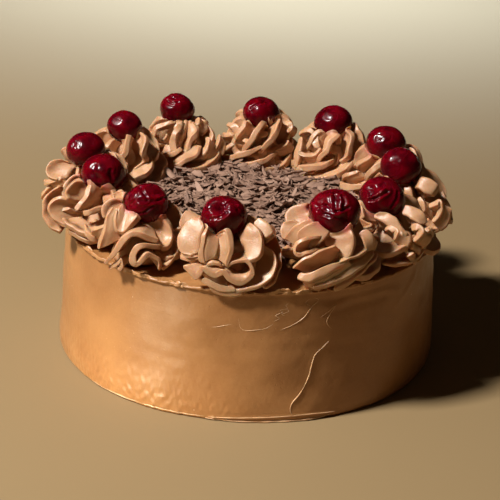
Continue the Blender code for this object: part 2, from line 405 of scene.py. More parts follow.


# The long crease is a torn thread of cream that the knife left standing on the side, and
# finer ones, like scratches, curl about above it where the scraper lifted off.
# The threads are a paler cream than the coat. Part of this paleness is the cream's own, and part is painted
# highlight, standing in for the light their raised ridges catch.
thread_look_painted_highlight = buttercream("Torn thread of cream", CREAM_PALE, srgb(222, 180, 140), srgb(246, 212, 176))
CREASE_SIZE, CREASE_SUNK = 0.37, 0.02
crease = threads("crease_thread", [(LONG_CREASE, CREASE_SIZE, CREASE_SUNK)], stations=160, around=10)
fit(crease, thread_look_painted_highlight.material, "coat_cream")
scratches = threads("fine_scratches", [
    ([(279.7, 50.4), (283, 52.6), (286.1, 56), (288.4, 61.3), (290.5, 64.6), (288.4, 66), (286.7, 63.8),
      (288.4, 61.5)], 0.24, 0.04),
    ([(291, 55.3), (293.7, 58), (296, 61), (294, 56), (293.2, 52.3), (295.1, 47.6)], 0.24, 0.06),
    ([(267.8, 57), (269.1, 50.4), (273.8, 50.6), (276.6, 52.3), (278, 55)], 0.2, 0.07),
    ([(277.4, 54.7), (279.2, 56.4), (278.2, 58), (280, 59.7), (279.4, 60.8), (281.4, 61.4), (281, 63),
      (282, 64.6)], 0.18, 0.06),
    ([(281.4, 57.6), (280, 58.4), (281.8, 60), (280.9, 61.6)], 0.18, 0.1),
    ([(259, 49.5), (263, 51.2), (267.5, 53.5)], 0.18, 0.09),
    ([(284, 3.7), (279, 3.2), (271, 2.9), (261, 1.8)], 0.38, 0.0),
    ([(260, 0.9), (268, 0.7), (280, 0.6), (290, 0.8), (297, 1.6)], 0.4, 0.0),
    ([(284, 3.6), (289, 3.7), (297, 2.9)], 0.3, 0.05),
    ([(262, 1.8), (254, 1.5), (244, 1.7), (232, 1.1), (220, 1.3)], 0.3, 0.1),
])
fit(scratches, thread_look_painted_highlight.material, "coat_cream")

# The torn flaps of the lip: where each starts and ends in degrees round, how tall it is and
# how far it leans out, in mm.  The last ones, round the back, fall by chance.
LIP_FLAPS = [
    (212, 230, 0.9, 0.3), (228.5, 237, 2.0, 0.6), (236, 245, 1.1, 0.7), (237.5, 241.5, 1.8, -0.4),
    (244, 262, 0.7, 0.3), (246.5, 254, 2.0, 0.7), (249, 252, 1.5, -0.3), (260, 275, 0.8, 0.5),
    (273, 289, 1.3, 0.7), (276, 284, 2.2, 1.2), (283, 294, 2.0, 0.8), (293, 304, 0.8, 0.4),
    (303, 309, 1.2, 0.5),
]
FLAPS_BEHIND = 18
draw = np.random.default_rng(81)
for start in np.sort(draw.uniform(-48, 212, FLAPS_BEHIND)):
    LIP_FLAPS.append((start, start + draw.uniform(5, 17), draw.uniform(0.6, 1.9), draw.uniform(-0.3, 0.8)))


def lip_flaps():
    """Each flap is a thin sheet standing on the rim: its section, thick at the root and thin at
    a rolled crest, leans out by a square law, and its height is ragged and falls to both ends."""
    steps = 60
    along = np.linspace(0, 1, steps)
    up = np.array([0.0, 0.35, 0.7, 0.92, 1.0, 0.97, 0.75, 0.4, 0.0])
    side = np.array([0.9, 0.6, 0.46, 0.36, 0.0, -0.36, -0.46, -0.6, -0.9])
    pieces = []
    for number, (start, end, tall, lean) in enumerate(LIP_FLAPS):
        turn = np.radians(start + (end - start) * along)
        rim = np.stack([np.cos(turn), np.sin(turn), 0 * turn], -1)
        edge = rim * EDGE_RADIUS
        ragged = 1 + 0.26 * random_field(edge, 7 * MM, 300 + number)
        ragged = ragged + 0.10 * random_field(edge, 2.2 * MM, 400 + number)
        grown = tall * ragged * np.sin(np.pi * np.clip(along, 0.004, 0.996)) ** 0.7
        wander = 0.35 * random_field(edge, 7 * MM, 500 + number)
        out = EDGE_RADIUS / MM - 0.1 + wander[:, None] + lean * (grown / tall)[:, None] * up[None] ** 2
        out = out + side[None] * (0.4 + 0.6 * grown / tall)[:, None]
        height = CAKE_TOP / MM - 0.7 + (grown[:, None] + 0.7) * up[None]
        pieces.append(np.concatenate([rim[:, None, :2] * out[..., None], height[..., None]], -1) * MM)
    return np.array(pieces)


flaps = lofted("lip_flaps", lip_flaps())
flap_look = buttercream("Torn lip of cream", CREAM_MIDDLE, CREAM_PALE, srgb(224, 180, 138))
fit(flaps, flap_look.material, "coat_cream")

# ---------------------------------------------------------------------------------------
# The bed of shavings.  Dark chocolate scraped off a block into short curled shards, strewn
# thickly inside the ring: a core with relief, and the loose shards lying on it.
# ---------------------------------------------------------------------------------------

bed_low, bed_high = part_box("chocolate_shavings")
BED_FLOOR = bed_low.z
BED_TOP = bed_high.z


def node_outline(name, steps):
    """How far a CAD node reaches from the middle in each of many directions, in metres."""
    corners = np.array([v.co for v in frame["nodes"][name].data.vertices])
    turn = np.arctan2(corners[:, 1], corners[:, 0])
    away = np.hypot(corners[:, 0], corners[:, 1])
    low = corners[:, 2] < BED_FLOOR + 0.5 * (BED_TOP - BED_FLOOR)
    rim = low & (away > 0.6 * away.max())
    order = np.argsort(turn[rim])
    at = np.linspace(-np.pi, np.pi, steps, endpoint=False)
    return at, np.interp(at, turn[rim][order], away[rim][order], period=2 * np.pi)


bed_turn, bed_reach = node_outline("chocolate_shavings", 360)
core_rings = []
# The core in section: share of the bed's reach, and share of its height.
for share, lift in (
    (0.03, 0.70), (0.15, 0.70), (0.3, 0.70), (0.42, 0.70), (0.54, 0.68), (0.65, 0.68), (0.75, 0.66),
    (0.83, 0.63), (0.89, 0.57), (0.93, 0.48), (0.955, 0.3), (0.96, 0.1), (0.95, 0.0), (0.5, 0.0), (0.05, 0.0),
):
    ring = np.stack([np.cos(bed_turn), np.sin(bed_turn), 0 * bed_turn], -1) * (share * bed_reach)[:, None]
    height = BED_FLOOR + lift * (BED_TOP - BED_FLOOR)
    uneven = 0.7 * random_field(ring, 9 * MM, 41) + 0.5 * random_field(ring, 3.5 * MM, 42)
    ring[:, 2] = height + uneven * MM * ease(lift / 0.4)
    core_rings.append(ring)
core = lofted("shavings_core", np.array(core_rings))

FLAKES = 1300
draw = np.random.default_rng(77)
flake_turn = draw.uniform(-np.pi, np.pi, FLAKES)
limit = np.interp(flake_turn, bed_turn, bed_reach, period=2 * np.pi) - 3.0 * MM
flake_away = limit * np.sqrt(draw.uniform(0, 1, FLAKES))
length = np.clip(draw.lognormal(math.log(8.2), 0.42, FLAKES), 3.0, 19.0) * MM
width = np.clip(draw.lognormal(math.log(3.2), 0.36, FLAKES), 1.3, 6.8) * MM
thick = draw.uniform(0.35, 0.8, FLAKES) * MM
curl = draw.normal(0, 0.9, FLAKES)
roll = draw.normal(0.5, 0.6, FLAKES)
yaw = draw.uniform(0, 2 * np.pi, FLAKES)
tilt = draw.normal(0, 0.19, FLAKES)
lean = draw.normal(0, 0.32, FLAKES)
STATIONS, AROUND = 7, 8


def flake_rings():
    """Each shard is a thin flat section carried along a curved path: it bends over its length by
    its curl, rolls across its width, narrows unevenly to both ends, and is then turned and laid."""
    s = np.linspace(-0.5, 0.5, STATIONS)[None, :, None]
    v = (np.arange(AROUND) / AROUND * 2 * np.pi)[None, None, :]
    ragged = 1 + 0.22 * draw.normal(size=(FLAKES, STATIONS, AROUND))
    taper = (1 - (2 * np.abs(s)) ** 2.6 * 0.72) * ragged
    y = 0.5 * width[:, None, None] * np.sign(np.cos(v)) * np.abs(np.cos(v)) ** 0.7 * taper
    z = 0.5 * thick[:, None, None] * np.sin(v) * (1 - 0.5 * (2 * np.abs(s)) ** 3)
    bend = curl[:, None, None] * s
    x = length[:, None, None] * s * np.sinc(bend / np.pi)
    z = z + length[:, None, None] * s * np.sin(bend) * 0.5
    z = z + roll[:, None, None] * y * y / width[:, None, None]
    z = z + 0.12 * MM * draw.normal(size=z.shape)
    return np.stack(np.broadcast_arrays(x, y, z), -1)


def turned_about(points, axis, amount):
    """Points turned about a main axis, each piece by its own amount."""
    first, second = [(1, 2), (2, 0), (0, 1)][axis]
    c, s = np.cos(amount)[:, None, None], np.sin(amount)[:, None, None]
    out = points.copy()
    out[..., first] = c * points[..., first] - s * points[..., second]
    out[..., second] = s * points[..., first] + c * points[..., second]
    return out


shards = turned_about(turned_about(turned_about(flake_rings(), 0, lean), 1, tilt), 2, yaw)
spot = np.stack([flake_away * np.cos(flake_turn), flake_away * np.sin(flake_turn), 0 * flake_away], -1)
heap = BED_FLOOR + 0.62 * (BED_TOP - BED_FLOOR) + 0.7 * MM * random_field(spot, 9 * MM, 41)
edge_fall = ease((limit + 3 * MM - flake_away) / (6 * MM))
spot[:, 2] = heap - (1 - edge_fall) * 1.6 * MM + draw.uniform(0.0, 1.0, FLAKES) ** 1.4 * 2.8 * MM
loose = lofted("loose_shavings", shards + spot[:, None, None])
shade = np.repeat(draw.uniform(0, 1, FLAKES), STATIONS * AROUND + 2)
tint(loose, "shade", shade)


def shaved(name, dark, mid, pale, attribute):
    """Dry scraped chocolate: matt, greyed by its torn surface, each shard of its own shade."""
    look = Recipe(name, 0.7, 0.35)
    own = look.attribute("shade") if attribute else look.noise(2.6 * MM, 4, 0.6)
    base = look.blend(look.ramp(own, 0.0, 0.0, 0.55, 1.0), dark, mid)
    base = look.blend(look.ramp(own, 0.55, 0.0, 1.0, 1.0), base, pale)
    streak = look.ramp(look.noise(0.9 * MM, 4, 0.65), 0.35, 0.0, 0.75, 0.55)
    base = look.blend(streak, base, pale)
    look.put(look.shader.inputs["Base Color"], base)
    look.put(look.shader.inputs["Roughness"], look.ramp(look.noise(2 * MM), 0.3, 0.55, 0.7, 0.85))
    look.bump(look.noise(0.5 * MM, 4, 0.65), 0.18 * MM)
    return look.material


CRUMB_SHADES = srgb(112, 83, 66), srgb(136, 104, 84), srgb(158, 126, 104)
SHAVED_SHADES = srgb(114, 83, 67), srgb(140, 107, 88), srgb(162, 128, 108)
crumbled = shaved("Crumbled chocolate", *CRUMB_SHADES, attribute=False)
fit(core, crumbled, "shaved_chocolate", "chocolate_shavings")
fit(loose, shaved("Shaved chocolate", *SHAVED_SHADES, attribute=True), "shaved_chocolate")

# ---------------------------------------------------------------------------------------
# The piped swirls.  The same cream, stiffer, pressed through a deep-cut star nozzle: once
# round the foot, then up round the cherry.  The nozzle leaves thick-edged blades of cream,
# which lie as ruffled ribbons round the foot and stand as petals round the cherry.
# ---------------------------------------------------------------------------------------

# Half a blade in section, from root to crest: share of its depth, mm back from its crest, and
# half thickness in mm.  The crest is nearly square, as the nozzle's slot leaves it.
BLADE = np.array([
    (0.0, 0.0, 1.9), (0.15, 0.0, 1.55), (0.35, 0.0, 1.25), (0.55, 0.0, 1.12), (0.75, 0.0, 1.14),
    (1.0, 2.0, 1.30), (1.0, 0.6, 1.42), (1.0, 0.22, 1.36), (1.0, 0.05, 1.18), (1.0, 0.0, 0.92),
    (1.0, 0.0, 0.4),
])
BLADE_STEPS = 72


def blade(crest, root, wide=1.0, bow=0.0, flare=0.0):
    """One blade: a sheet ruled from a root curve to a crest curve, as thick as the half section
    says on both sides, wider or narrower at its start, middle and end; thicker at the root by
    the flare, on the side of its sign, which falls off as the power 1.6; bowed sideways by
    4d(1-d) of the bow at share d, and thinned at both ends as a circle's side is.  A root given
    as one point, the blade's heart, stands for a curve two fifths of the way out from it, and
    one given as a rule is worked out from the crest."""
    crest = np.asarray(crest, float)
    root = root(crest) if callable(root) else np.asarray(root, float)
    if root.ndim == 1:
        root = root + 0.4 * (crest - root)
    top, long = smooth_curve(crest, BLADE_STEPS)
    base, _ = smooth_curve(root, BLADE_STEPS)
    way = top - base
    deep = np.linalg.norm(way, axis=1)[:, None]
    run = np.gradient(top, axis=0) + 0.5 * np.gradient(base, axis=0)
    side = np.cross(run, way)
    side /= np.linalg.norm(side, axis=1, keepdims=True)
    share = np.concatenate([BLADE[:, 0], BLADE[::-1, 0]])
    wide = np.interp(np.linspace(0, 1, BLADE_STEPS), (0, 0.5, 1), np.broadcast_to(wide, 3))[:, None]
    back = np.concatenate([BLADE[:, 1], BLADE[::-1, 1]]) * wide
    swell = (1 - BLADE[:, 0]) ** 1.6
    left = BLADE[:, 2] * wide + max(-flare, 0) * swell
    right = BLADE[:, 2] * wide + max(flare, 0) * swell
    thick = np.concatenate([-left, right[:, ::-1]], axis=1)
    ends = np.linspace(0, long, BLADE_STEPS)
    ends = np.minimum(ends, long - ends)
    full = np.sqrt(np.clip(1 - (1 - np.minimum(ends, 1)) ** 2, 0.02, 1))[:, None]
    reach = share[None] - (back + 0.5 * (1 - full) * share[None]) / deep
    flat = thick * full + bow * 4 * share[None] * (1 - share[None])
    return base[:, None] + way[:, None] * reach[..., None] + side[:, None] * flat[..., None]


# A petal and a ribbon of the usual shape: degrees round from its middle, mm out from the
# swirl's middle, and mm up, at points along the crest; a ribbon rises as it goes round.
PETAL = np.array([(-17, 8.0, 31.5), (-11, 13.0, 32.0), (-3, 17.6, 29.0), (6, 20.6, 23.5), (14, 21.0, 18.0),
                  (21, 18.0, 13.5)])
RIBBON = np.array([(62, 18.0, 9.0), (48, 24.0, 6.0), (28, 26.6, 5.5), (6, 27.2, 7.0), (-14, 26.2, 10.0),
                   (-32, 24.0, 13.5), (-48, 19.5, 17.5)])


def spread(points):
    """Points given as degrees round, mm out and mm up, as mm across, towards the edge, and up."""
    turn = np.radians(points[..., 0])
    return np.stack([points[..., 1] * np.cos(turn), points[..., 1] * np.sin(turn), points[..., 2]], -1)


def usual_blades(seed, petals, ribbons, plump=1.0):
    """Blades for the given directions, in degrees: each is the usual petal or ribbon, made
    taller, wider, steeper or more ruffled by chance; its root lags behind its crest."""
    draw = np.random.default_rng(seed)
    rings = []
    for turn in petals:
        crest = PETAL * (draw.uniform(0.6, 1.7), draw.uniform(0.92, 1.06), 1)
        crest[:, 2] += draw.uniform(-1.6, 0.8) * plump ** 2
        crest[:, 0] += draw.normal(0, 3.0, 6) * plump ** 2 + turn
        crest[:, 1] += draw.normal(0, 0.7, 6)
        root = crest * (1, 0.22, 0.92) + (draw.uniform(-14, 4), 1.0, 0)
        wide = draw.uniform((0.4, 0.85, 0.55), (0.8, 1.2, 1.0)) * plump
        bow, flare = draw.uniform(-2.4, 2.4), draw.uniform(-3, 3) * plump
        rings.append(blade(spread(crest), spread(root), wide, bow, flare))
    for turn in ribbons:
        crest = RIBBON * (draw.uniform(0.75, 1.1), draw.uniform(0.93, 1.02), 1)
        ruffle = draw.uniform(0.0, 2.6) * np.sin(np.linspace(0, draw.uniform(4, 9), 7) + draw.uniform(0, 6.3))
        crest[:, 2] += ruffle + draw.uniform(-0.5, 2.0)
        crest[:, 1] += draw.normal(0, 0.8, 7)
        crest[:, 0] += turn
        root = crest * (1, 0.42, 0.8) + (draw.uniform(-10, 2), 0, draw.uniform(-1, 5))
        wide = draw.uniform((0.5, 0.95, 0.4), (1.1, 1.35, 0.9)) * plump
        bow, flare = draw.uniform(-2.5, 2.5), draw.uniform(-3, 3) * plump
        rings.append(blade(spread(crest), spread(root), wide, bow, flare))
    return rings


# The ways a blade may face, as parts to the right, towards the front of the cake, and up.
LEFT, HALF_LEFT, FORWARD = (-0.68, 0.3, 0.67), (-0.45, 0.5, 0.7), (-0.2, 0.75, 0.6)


def leaning(*ways, deep=8.0):
    """A rule for the root of a blade that faces the given ways, in turn from its start to its
    end: each point of the root is so deep, in mm, straight behind the crest, and at least 1 mm
    up."""
    def root(crest):
        at = np.linspace(0, len(ways) - 1, len(crest))
        way = np.stack([np.interp(at, range(len(ways)), part) for part in np.transpose(ways)], -1)
        behind = crest - deep * way / np.linalg.norm(way, axis=1, keepdims=True)
        behind[:, 2] = np.maximum(behind[:, 2], 1.0)
        return behind
    return root


# The blades of the swirls whose petals show, with crests at measured places: each has the
# corners of its crest, and of its root or the rule for it, as mm to the right, mm towards the
# front of the cake and mm up from the swirl's foot, then its width, its bow and its flare.
LAID = {
    1: (
        ([(-8, 2, 31.5), (-12, 1.5, 32), (-16, 2.5, 30.5), (-18, 4.5, 27.5), (-17.5, 7, 24)],
         [(-4, 2, 29), (-5, 4, 26), (-7, 6, 23), (-8, 7, 20)], 0.95, -1.0),
        ([(-11.3, 10, 29), (-11, 14, 23.5), (-9.2, 15.5, 19.8), (-6, 16, 19.5), (-3.2, 15.8, 21.8),
          (-0.5, 14.5, 25), (2, 11, 28.5)],
         [(-8, 4, 30), (-7, 5, 29.5), (-6, 5, 29), (-5, 5, 28.5), (-3, 5, 28.5), (-1, 5, 28), (0, 5, 28)],
          1.0, 0.8),
        ([(-12.5, 7, 30), (-14.5, 10.5, 28), (-17, 14.5, 22.5), (-19.5, 17.5, 17), (-21.8, 19, 12)],
         [(-6, 6, 27), (-7, 8, 24), (-7, 10, 20), (-7, 11, 15)], 1.0, 1.0),
        ([(9, 5, 28.5), (13, 7, 26), (16.8, 8.5, 21.5), (18.8, 9.5, 17.2), (18.4, 12, 14), (16.2, 15, 12),
          (12.5, 16.5, 12)], [(3, 2, 26), (4, 4, 23), (5, 6, 20), (6, 8, 17), (7, 10, 15)], 1.0, 0.8),
        ([(-17.5, 19.5, 3.8), (-13.7, 21.5, 9), (-9.6, 21.5, 13.6), (-6.5, 20.5, 17.7), (-3, 19.5, 20.5),
          (1, 19, 20.7), (6.3, 18.5, 18.6), (11.4, 17, 16.8)],
         [(-8, 9, 8), (-7, 10, 11), (-5, 10, 14), (-3, 10, 17), (0, 10, 19), (3, 10, 19), (6, 9, 17),
          (8, 8, 15)], (0.7, 1.2, 0.9), 0.0, 2.0),
        ([(13.5, 16.5, 13.2), (8.1, 20, 15.2), (4.2, 22, 16.2), (1.1, 23, 15.2), (-1.7, 24, 11.8),
          (-1.5, 25, 8.3), (0.8, 25, 7.2), (3.4, 24.5, 9), (5.8, 24, 11.3), (8.6, 23, 11.6),
          (11.8, 22, 9.4), (13.2, 22, 6.2), (12.5, 22, 2.8)], (3, 9, 10), (0.9, 1.2, 0.7), 0.0),
        ([(-15, 18, 1.5), (-11, 20.5, 4.5), (-8.2, 21, 7), (-7.5, 21.5, 4.2), (-9, 21, 1.6)],
         (-2, 9, 5), 0.7, 0.0),
        ([(12, -7, 29), (16, -5, 28.5), (20.5, -3, 26), (23.5, 0, 22.5), (24, 2.5, 19.5),
          (21.5, 4.5, 17.5)], [(5, -3, 26), (6, -2, 23), (7, 0, 20), (8, 2, 17)], 1.0, 1.0),
        ([(12, -2, 20), (17, 4, 17), (21, 8, 13), (22, 12, 9), (19, 17, 5), (14, 20, 3)],
         (5, 7, 10), 0.8, 1.0),
    ),
    2: (
        ([(-15.7, 1, 31.3), (-19.8, 2, 30.6), (-23.8, 3, 27.2), (-25.4, 5, 23), (-25.5, 8, 18.8),
          (-23.4, 11, 16.6), (-19.1, 14, 16.8)],
         [(-12, 4, 31), (-13, 7, 28), (-13.5, 9.5, 24), (-14, 11, 20), (-14.5, 12, 17.5)],
          (0.6, 0.9, 0.8), 0.6),
        ([(-10.5, 5, 31.5), (-11.3, 9, 30.4), (-12.8, 12.5, 28), (-13.7, 15.5, 24.3), (-14.4, 18, 19.2),
          (-14, 19, 16)],
         [(-9.5, 5, 25.5), (-10, 7.5, 24), (-10.6, 10, 21.5), (-11, 12, 18), (-11.4, 12.5, 15)],
          (0.3, 0.75, 1.0), 0.0, 4.5),
        ([(-7, 6, 27), (-4.5, 9, 29.7), (-1.8, 11.5, 30.4), (0.1, 14, 27.1), (0.7, 16.5, 22.8),
          (-0.3, 18.5, 18.3), (-1.9, 20, 14.2)],
         [(-5, 5, 25), (-4, 6.5, 25.3), (-2.5, 7.5, 24.5), (-2, 9, 21.5), (-2.4, 10.5, 18), (-3, 12, 15)],
          (0.7, 1.1, 0.5), 0.0, -4.5),
        ([(9.2, 3, 30.6), (13.6, 8, 29.5), (15.4, 11, 25.8), (15.2, 14, 21.7), (13.4, 16, 18.4),
          (8.6, 17.5, 16.1)],
         [(3.3, 2, 28.5), (4.5, 4, 25.5), (5.5, 6, 22.5), (6.6, 8.5, 19), (7, 11, 16)],
          (0.7, 0.9, 0.6), -0.8),
        ([(11.4, 2, 32.1), (14.9, 5, 30.2), (18.4, 8, 26.9)],
         leaning(HALF_LEFT, FORWARD), (1.6, 2.5, 1.7), 0.0),
        ([(-22.8, 15, 11.8), (-19.9, 18, 9.9), (-17.1, 19.5, 8.5), (-15.1, 20, 11.1), (-14.2, 20, 13.6),
          (-10.8, 21.5, 11.6), (-7.5, 22.3, 10.7), (-4.6, 22.3, 12.7), (-2.8, 22.3, 12.3), (-0.4, 23, 9.9),
          (3.2, 23, 8.0), (7.4, 22.5, 8.4), (10.5, 21.5, 11.2), (10.7, 20, 14.8), (8.2, 18.5, 16.8),
          (4.8, 17.7, 16.6), (1.2, 18.2, 15.4), (-1.6, 19.4, 13.6)],
         [(-14, 9, 12), (-12.5, 11, 10), (-10, 12, 9), (-9, 12, 11), (-8, 12, 13), (-6, 12, 11.6),
          (-4, 12, 10.9), (-3, 12, 12.2), (-1.9, 12, 11.8), (0.2, 12, 9.6), (3.2, 12, 7.7), (7.8, 12, 8.2),
          (11.4, 12, 11.4), (11.5, 11, 15.2), (8.6, 10, 17.8), (4.6, 10, 17.6), (1, 10, 16),
          (-1.5, 11, 13.8)], (0.85, 1.05, 0.35), 0.0),
        ([(-14, 19, 7.6), (-10, 21, 6.2), (-5, 22, 4.8), (-1, 22.3, 4.1), (2.4, 22, 4.3)],
         leaning(LEFT), (0.8, 1.3, 0.8), 0.0),
        ([(16, 4, 20.2), (19.4, 7, 19.8), (22.1, 10, 16.7), (22.6, 13, 13.6), (21.2, 16, 9.8),
          (17.6, 19.5, 6.7), (11.6, 21.5, 4.2), (4.7, 22, 2.7), (-2, 22, 2.2)],
         [(6, 0, 17), (7, 2, 15.5), (8, 5, 12.5), (8, 8, 9.5), (6, 10, 7.5), (3, 11, 6), (0, 11, 5.5)],
          (0.4, 0.5, 0.7), 1.5),
        ([(20, -6, 22), (22.6, -2, 21.7), (25.7, 2, 18), (26.3, 6, 14.3), (24.9, 10, 10.1), (22.6, 14, 5.4),
          (18, 18, 3.2)],
         [(8, -4, 16), (9, -2, 14), (9, 1, 11), (8, 5, 8), (6, 8, 6)], (0.4, 0.6, 0.5), 1.0),
        ([(-19, -10, 29), (-25, -9, 30.5), (-28, -7, 27.4), (-27.5, -5, 24.7), (-24.5, -3, 22.9)],
         [(-9, -6, 27), (-11, -4, 25), (-12, -2, 22), (-12, 0, 20)], 0.9, 0.0),
        ([(-11.3, 18, 12.4), (-10.6, 18.6, 14.6), (-8.4, 18.8, 15.6), (-5.6, 18.2, 15.2),
          (-3.8, 17.6, 13.6)],
         [(-10.5, 9, 12), (-9.6, 9, 13.6), (-8, 9, 14.6), (-6, 9, 14.4), (-4.6, 9, 13)],
          (0.5, 0.7, 0.4), 0.0),
    ),
    3: (
        ([(-8, -8, 33.5), (-14, -9, 34), (-20, -9, 31.5), (-23, -8, 27.5), (-22, -5, 24)],
         [(-4, -2, 31), (-6, -1, 28), (-8, 0, 25), (-9, 2, 22)], 1.0, -1.0),
        ([(-19, -4, 27), (-24, -5, 25), (-26.5, -3, 21.5), (-25, 0, 18)],
         [(-8, 0, 24), (-9, 1, 22), (-10, 2, 19), (-10, 3, 16)], 1.0, 0.0),
        ([(-8, 4, 32.5), (-12.4, 6, 31.5), (-16, 6, 30), (-20, 5, 26), (-24, 3, 19.8)],
         [(-4, 6, 28), (-6, 8, 25), (-9, 9, 21), (-12, 8, 16)], (0.5, 0.9, 0.4), 0.0, 2.0),
        ([(-5.5, 7, 32.5), (-9.5, 9, 31.6), (-14, 9.5, 29.2), (-16.8, 10, 26.2), (-17.2, 10.5, 23.5)],
         [(-2, 9, 27), (-4, 11, 24), (-7, 12, 21), (-9, 12, 18)], (0.6, 1.0, 0.5), 0.0, 1.5),
        ([(-2, 11, 25.8), (-8.5, 15, 26.2), (-12.6, 17, 26.2), (-16.2, 18, 24.6), (-18.8, 18.5, 21.6),
          (-18.5, 19.3, 19), (-15.8, 20, 18.2), (-12, 19, 20), (-7, 16, 20.5)],
         [(0, 6, 24), (-4, 8, 24), (-7, 9, 23), (-9, 10, 22), (-10, 10, 20), (-9, 10, 18), (-7, 11, 17),
          (-5, 11, 18), (-2, 10, 19)], (0.45, 0.8, 0.4), 0.0),
        ([(-19.5, 19.5, 11.5), (-16, 20.8, 15.2), (-11.9, 21, 18), (-6.4, 20, 20.8), (1.3, 16.5, 23.3)],
         [(-9, 10, 5.5), (-6, 11, 8.5), (-3, 12, 11), (2, 12, 14), (6, 10, 17)],
          (0.4, 0.55, 0.45), 0.0, 1.5),
        ([(-16, 19.5, 8.3), (-12, 22.5, 8.5), (-6, 24, 11), (0, 23.5, 14), (5, 21.5, 15.8),
          (9.5, 18.8, 16.6)], leaning((-0.45, 0.5, 0.6), deep=9), (1.4, 1.7, 0.9), 0.0, 2.0),
        ([(-8, 23, 2.6), (-4.2, 24, 3.7), (2.1, 25, 6), (9.5, 24, 9), (15.3, 21, 11.8), (19.6, 16.5, 13.6),
          (22, 11, 15.4), (21.5, 6, 17)],
         [(-3, 11, 8), (0, 12, 9), (3, 12, 10), (6, 12, 12), (8, 10, 13), (9, 7, 14), (8, 4, 15)],
          (0.9, 0.6, 0.4), 1.0),
        ([(5, 21, 16), (9.5, 20, 17.4), (14.3, 17, 18), (18, 13, 19.2), (20, 8, 20)],
         [(4, 10, 15), (6, 9, 16), (8, 8, 17), (9, 5, 18)], (0.3, 0.5, 0.4), 0.0),
        ([(4, 23, 2.2), (9.9, 23, 5.0), (14.9, 20, 7.2), (19.6, 15, 10.5), (23, 9, 12.5), (24, 2, 14)],
         [(2, 11, 5), (5, 11, 6), (8, 9, 8), (9, 6, 9), (9, 2, 10)], (0.9, 0.5, 0.4), 0.5),
        ([(5.5, 4, 32), (8, 7, 31), (10.6, 10.5, 27.2), (11.8, 13, 23), (11.3, 16, 19.3), (9, 18.3, 16.3)],
         [(-4, 4, 28.5), (-4.5, 6.5, 25), (-3, 9, 21), (0, 11.5, 17.5)], (0.6, 1.0, 0.6), 0.8),
        ([(14.7, 6, 27.2), (18.2, 9, 24.2), (21.1, 11, 19.3)],
         leaning(HALF_LEFT, (0.3, 0.8, 0.5)), (1.8, 2.5, 1.8), 0.0),
    ),
    4: (
        ([(-8.7, 9, 27.5), (-4.4, 12, 27.2), (0.1, 15, 24.5), (3.7, 17, 21.7), (7, 18, 19.5)],
         leaning((-0.45, 0.45, 0.75), (-0.35, 0.6, 0.7), (-0.1, 0.8, 0.6), deep=9), (2.0, 2.2, 0.9), 0.0),
        ([(-4.4, 15, 21.1), (-1.8, 17, 22.6), (0.5, 19, 21.6), (0.9, 19.5, 19.1), (0.7, 19, 16.1)],
         leaning(LEFT, deep=9), (1.0, 1.3, 0.5), 0.0, 2.0),
        ([(-10, 0, 31), (-13.5, 1.5, 31), (-16, 4, 30), (-16.5, 8, 27.5), (-15.5, 11, 24.5)],
         [(-6, 2, 28), (-7, 3, 26), (-8, 5, 23), (-8, 6, 20)], 1.0, 0.0),
        ([(4.9, 7, 29.1), (9.8, 10, 28.8), (13.9, 12, 26.7), (16.3, 13, 24.1)],
         leaning((-0.5, 0.5, 0.7), (-0.1, 0.8, 0.6), (0.6, 0.7, 0.4), deep=9), (2.0, 2.5, 1.8), 0.0),
        ([(9, 15, 21.8), (11.2, 17, 23.9), (13.2, 18.5, 22.8), (12.3, 19, 19.8), (10.1, 18, 16.5)],
         leaning((-0.5, 0.5, 0.7), (-0.45, 0.6, 0.65), (-0.5, 0.55, 0.65), deep=9), (1.2, 1.6, 0.7), 0.0),
        ([(6.2, 14, 15.9), (7.8, 16, 15.9), (9.3, 17.5, 15.4), (9.6, 18, 14.1), (9, 18, 12.7)],
         leaning(LEFT, deep=7), (0.7, 1.1, 0.6), 0.0),
        ([(6.8, 20, 8.9), (8.9, 20.5, 10.2), (11.1, 20, 11.4)],
         leaning(LEFT, (-0.2, 0.8, 0.5), deep=7), (0.6, 0.9, 0.5), 0.0),
        ([(15.7, 14, 19.7), (16.7, 15, 21.5), (18.3, 14, 21.9), (18.8, 13, 19.4)],
         leaning((-0.5, 0.5, 0.7), (-0.2, 0.8, 0.5), deep=7), (0.8, 1.1, 0.6), 0.0),
        ([(20, 2, 17), (19.5, 7, 12.5), (17, 12, 8.5), (13, 17, 5.5), (6, 21, 4.5), (0, 22.5, 4.5),
          (-5, 22, 5)], (4, 8, 12), 0.8, 1.0),
        ([(-20, 12, 12), (-15, 17, 10), (-9, 21, 9.5), (-3, 23, 10), (3, 22.5, 12), (8, 20.5, 14)],
         (-3, 9, 13), 1.0, 0.0),
    ),
    5: (
        ([(-1.8, 2, 28.4), (-1.2, 5, 25.9), (-0.6, 7, 23.4), (-0.1, 8, 20.1)],
         leaning((-0.4, 0.6, 0.7), (-0.35, 0.8, 0.5)), (1.0, 1.5, 1.4), 0.0),
        ([(3.1, 3, 26.1), (5.3, 6, 28.4), (9.2, 8.5, 28.1), (13.1, 9, 26.3), (15.5, 7, 23.1)],
         leaning(LEFT, (-0.4, 0.65, 0.65), (0.1, 0.85, 0.5), (0.6, 0.7, 0.35), deep=10),
          (2.2, 3.0, 2.2), 0.0),
        ([(10.5, 10, 16.7), (13.1, 12, 19), (15.6, 13, 20.3), (16.4, 13, 17.1), (15.4, 13.5, 12.8),
          (12.8, 14, 8.9)], leaning(LEFT), (1.0, 1.5, 0.9), 0.0),
        ([(5, 9, 21.1), (6.5, 11, 19.8), (7.1, 12.5, 17.5), (7.5, 13, 14.4)],
         leaning(LEFT), (0.9, 1.2, 0.8), 0.0),
        ([(18.1, 4, 18.8), (20.7, 4, 16.8), (22.3, 4, 12.8), (21.6, 5, 6.5), (18.3, 7, 3)],
         leaning((0.3, 0.5, 0.7), (0.9, 0.2, 0.2), deep=9), (1.0, 1.4, 1.0), 0.0),
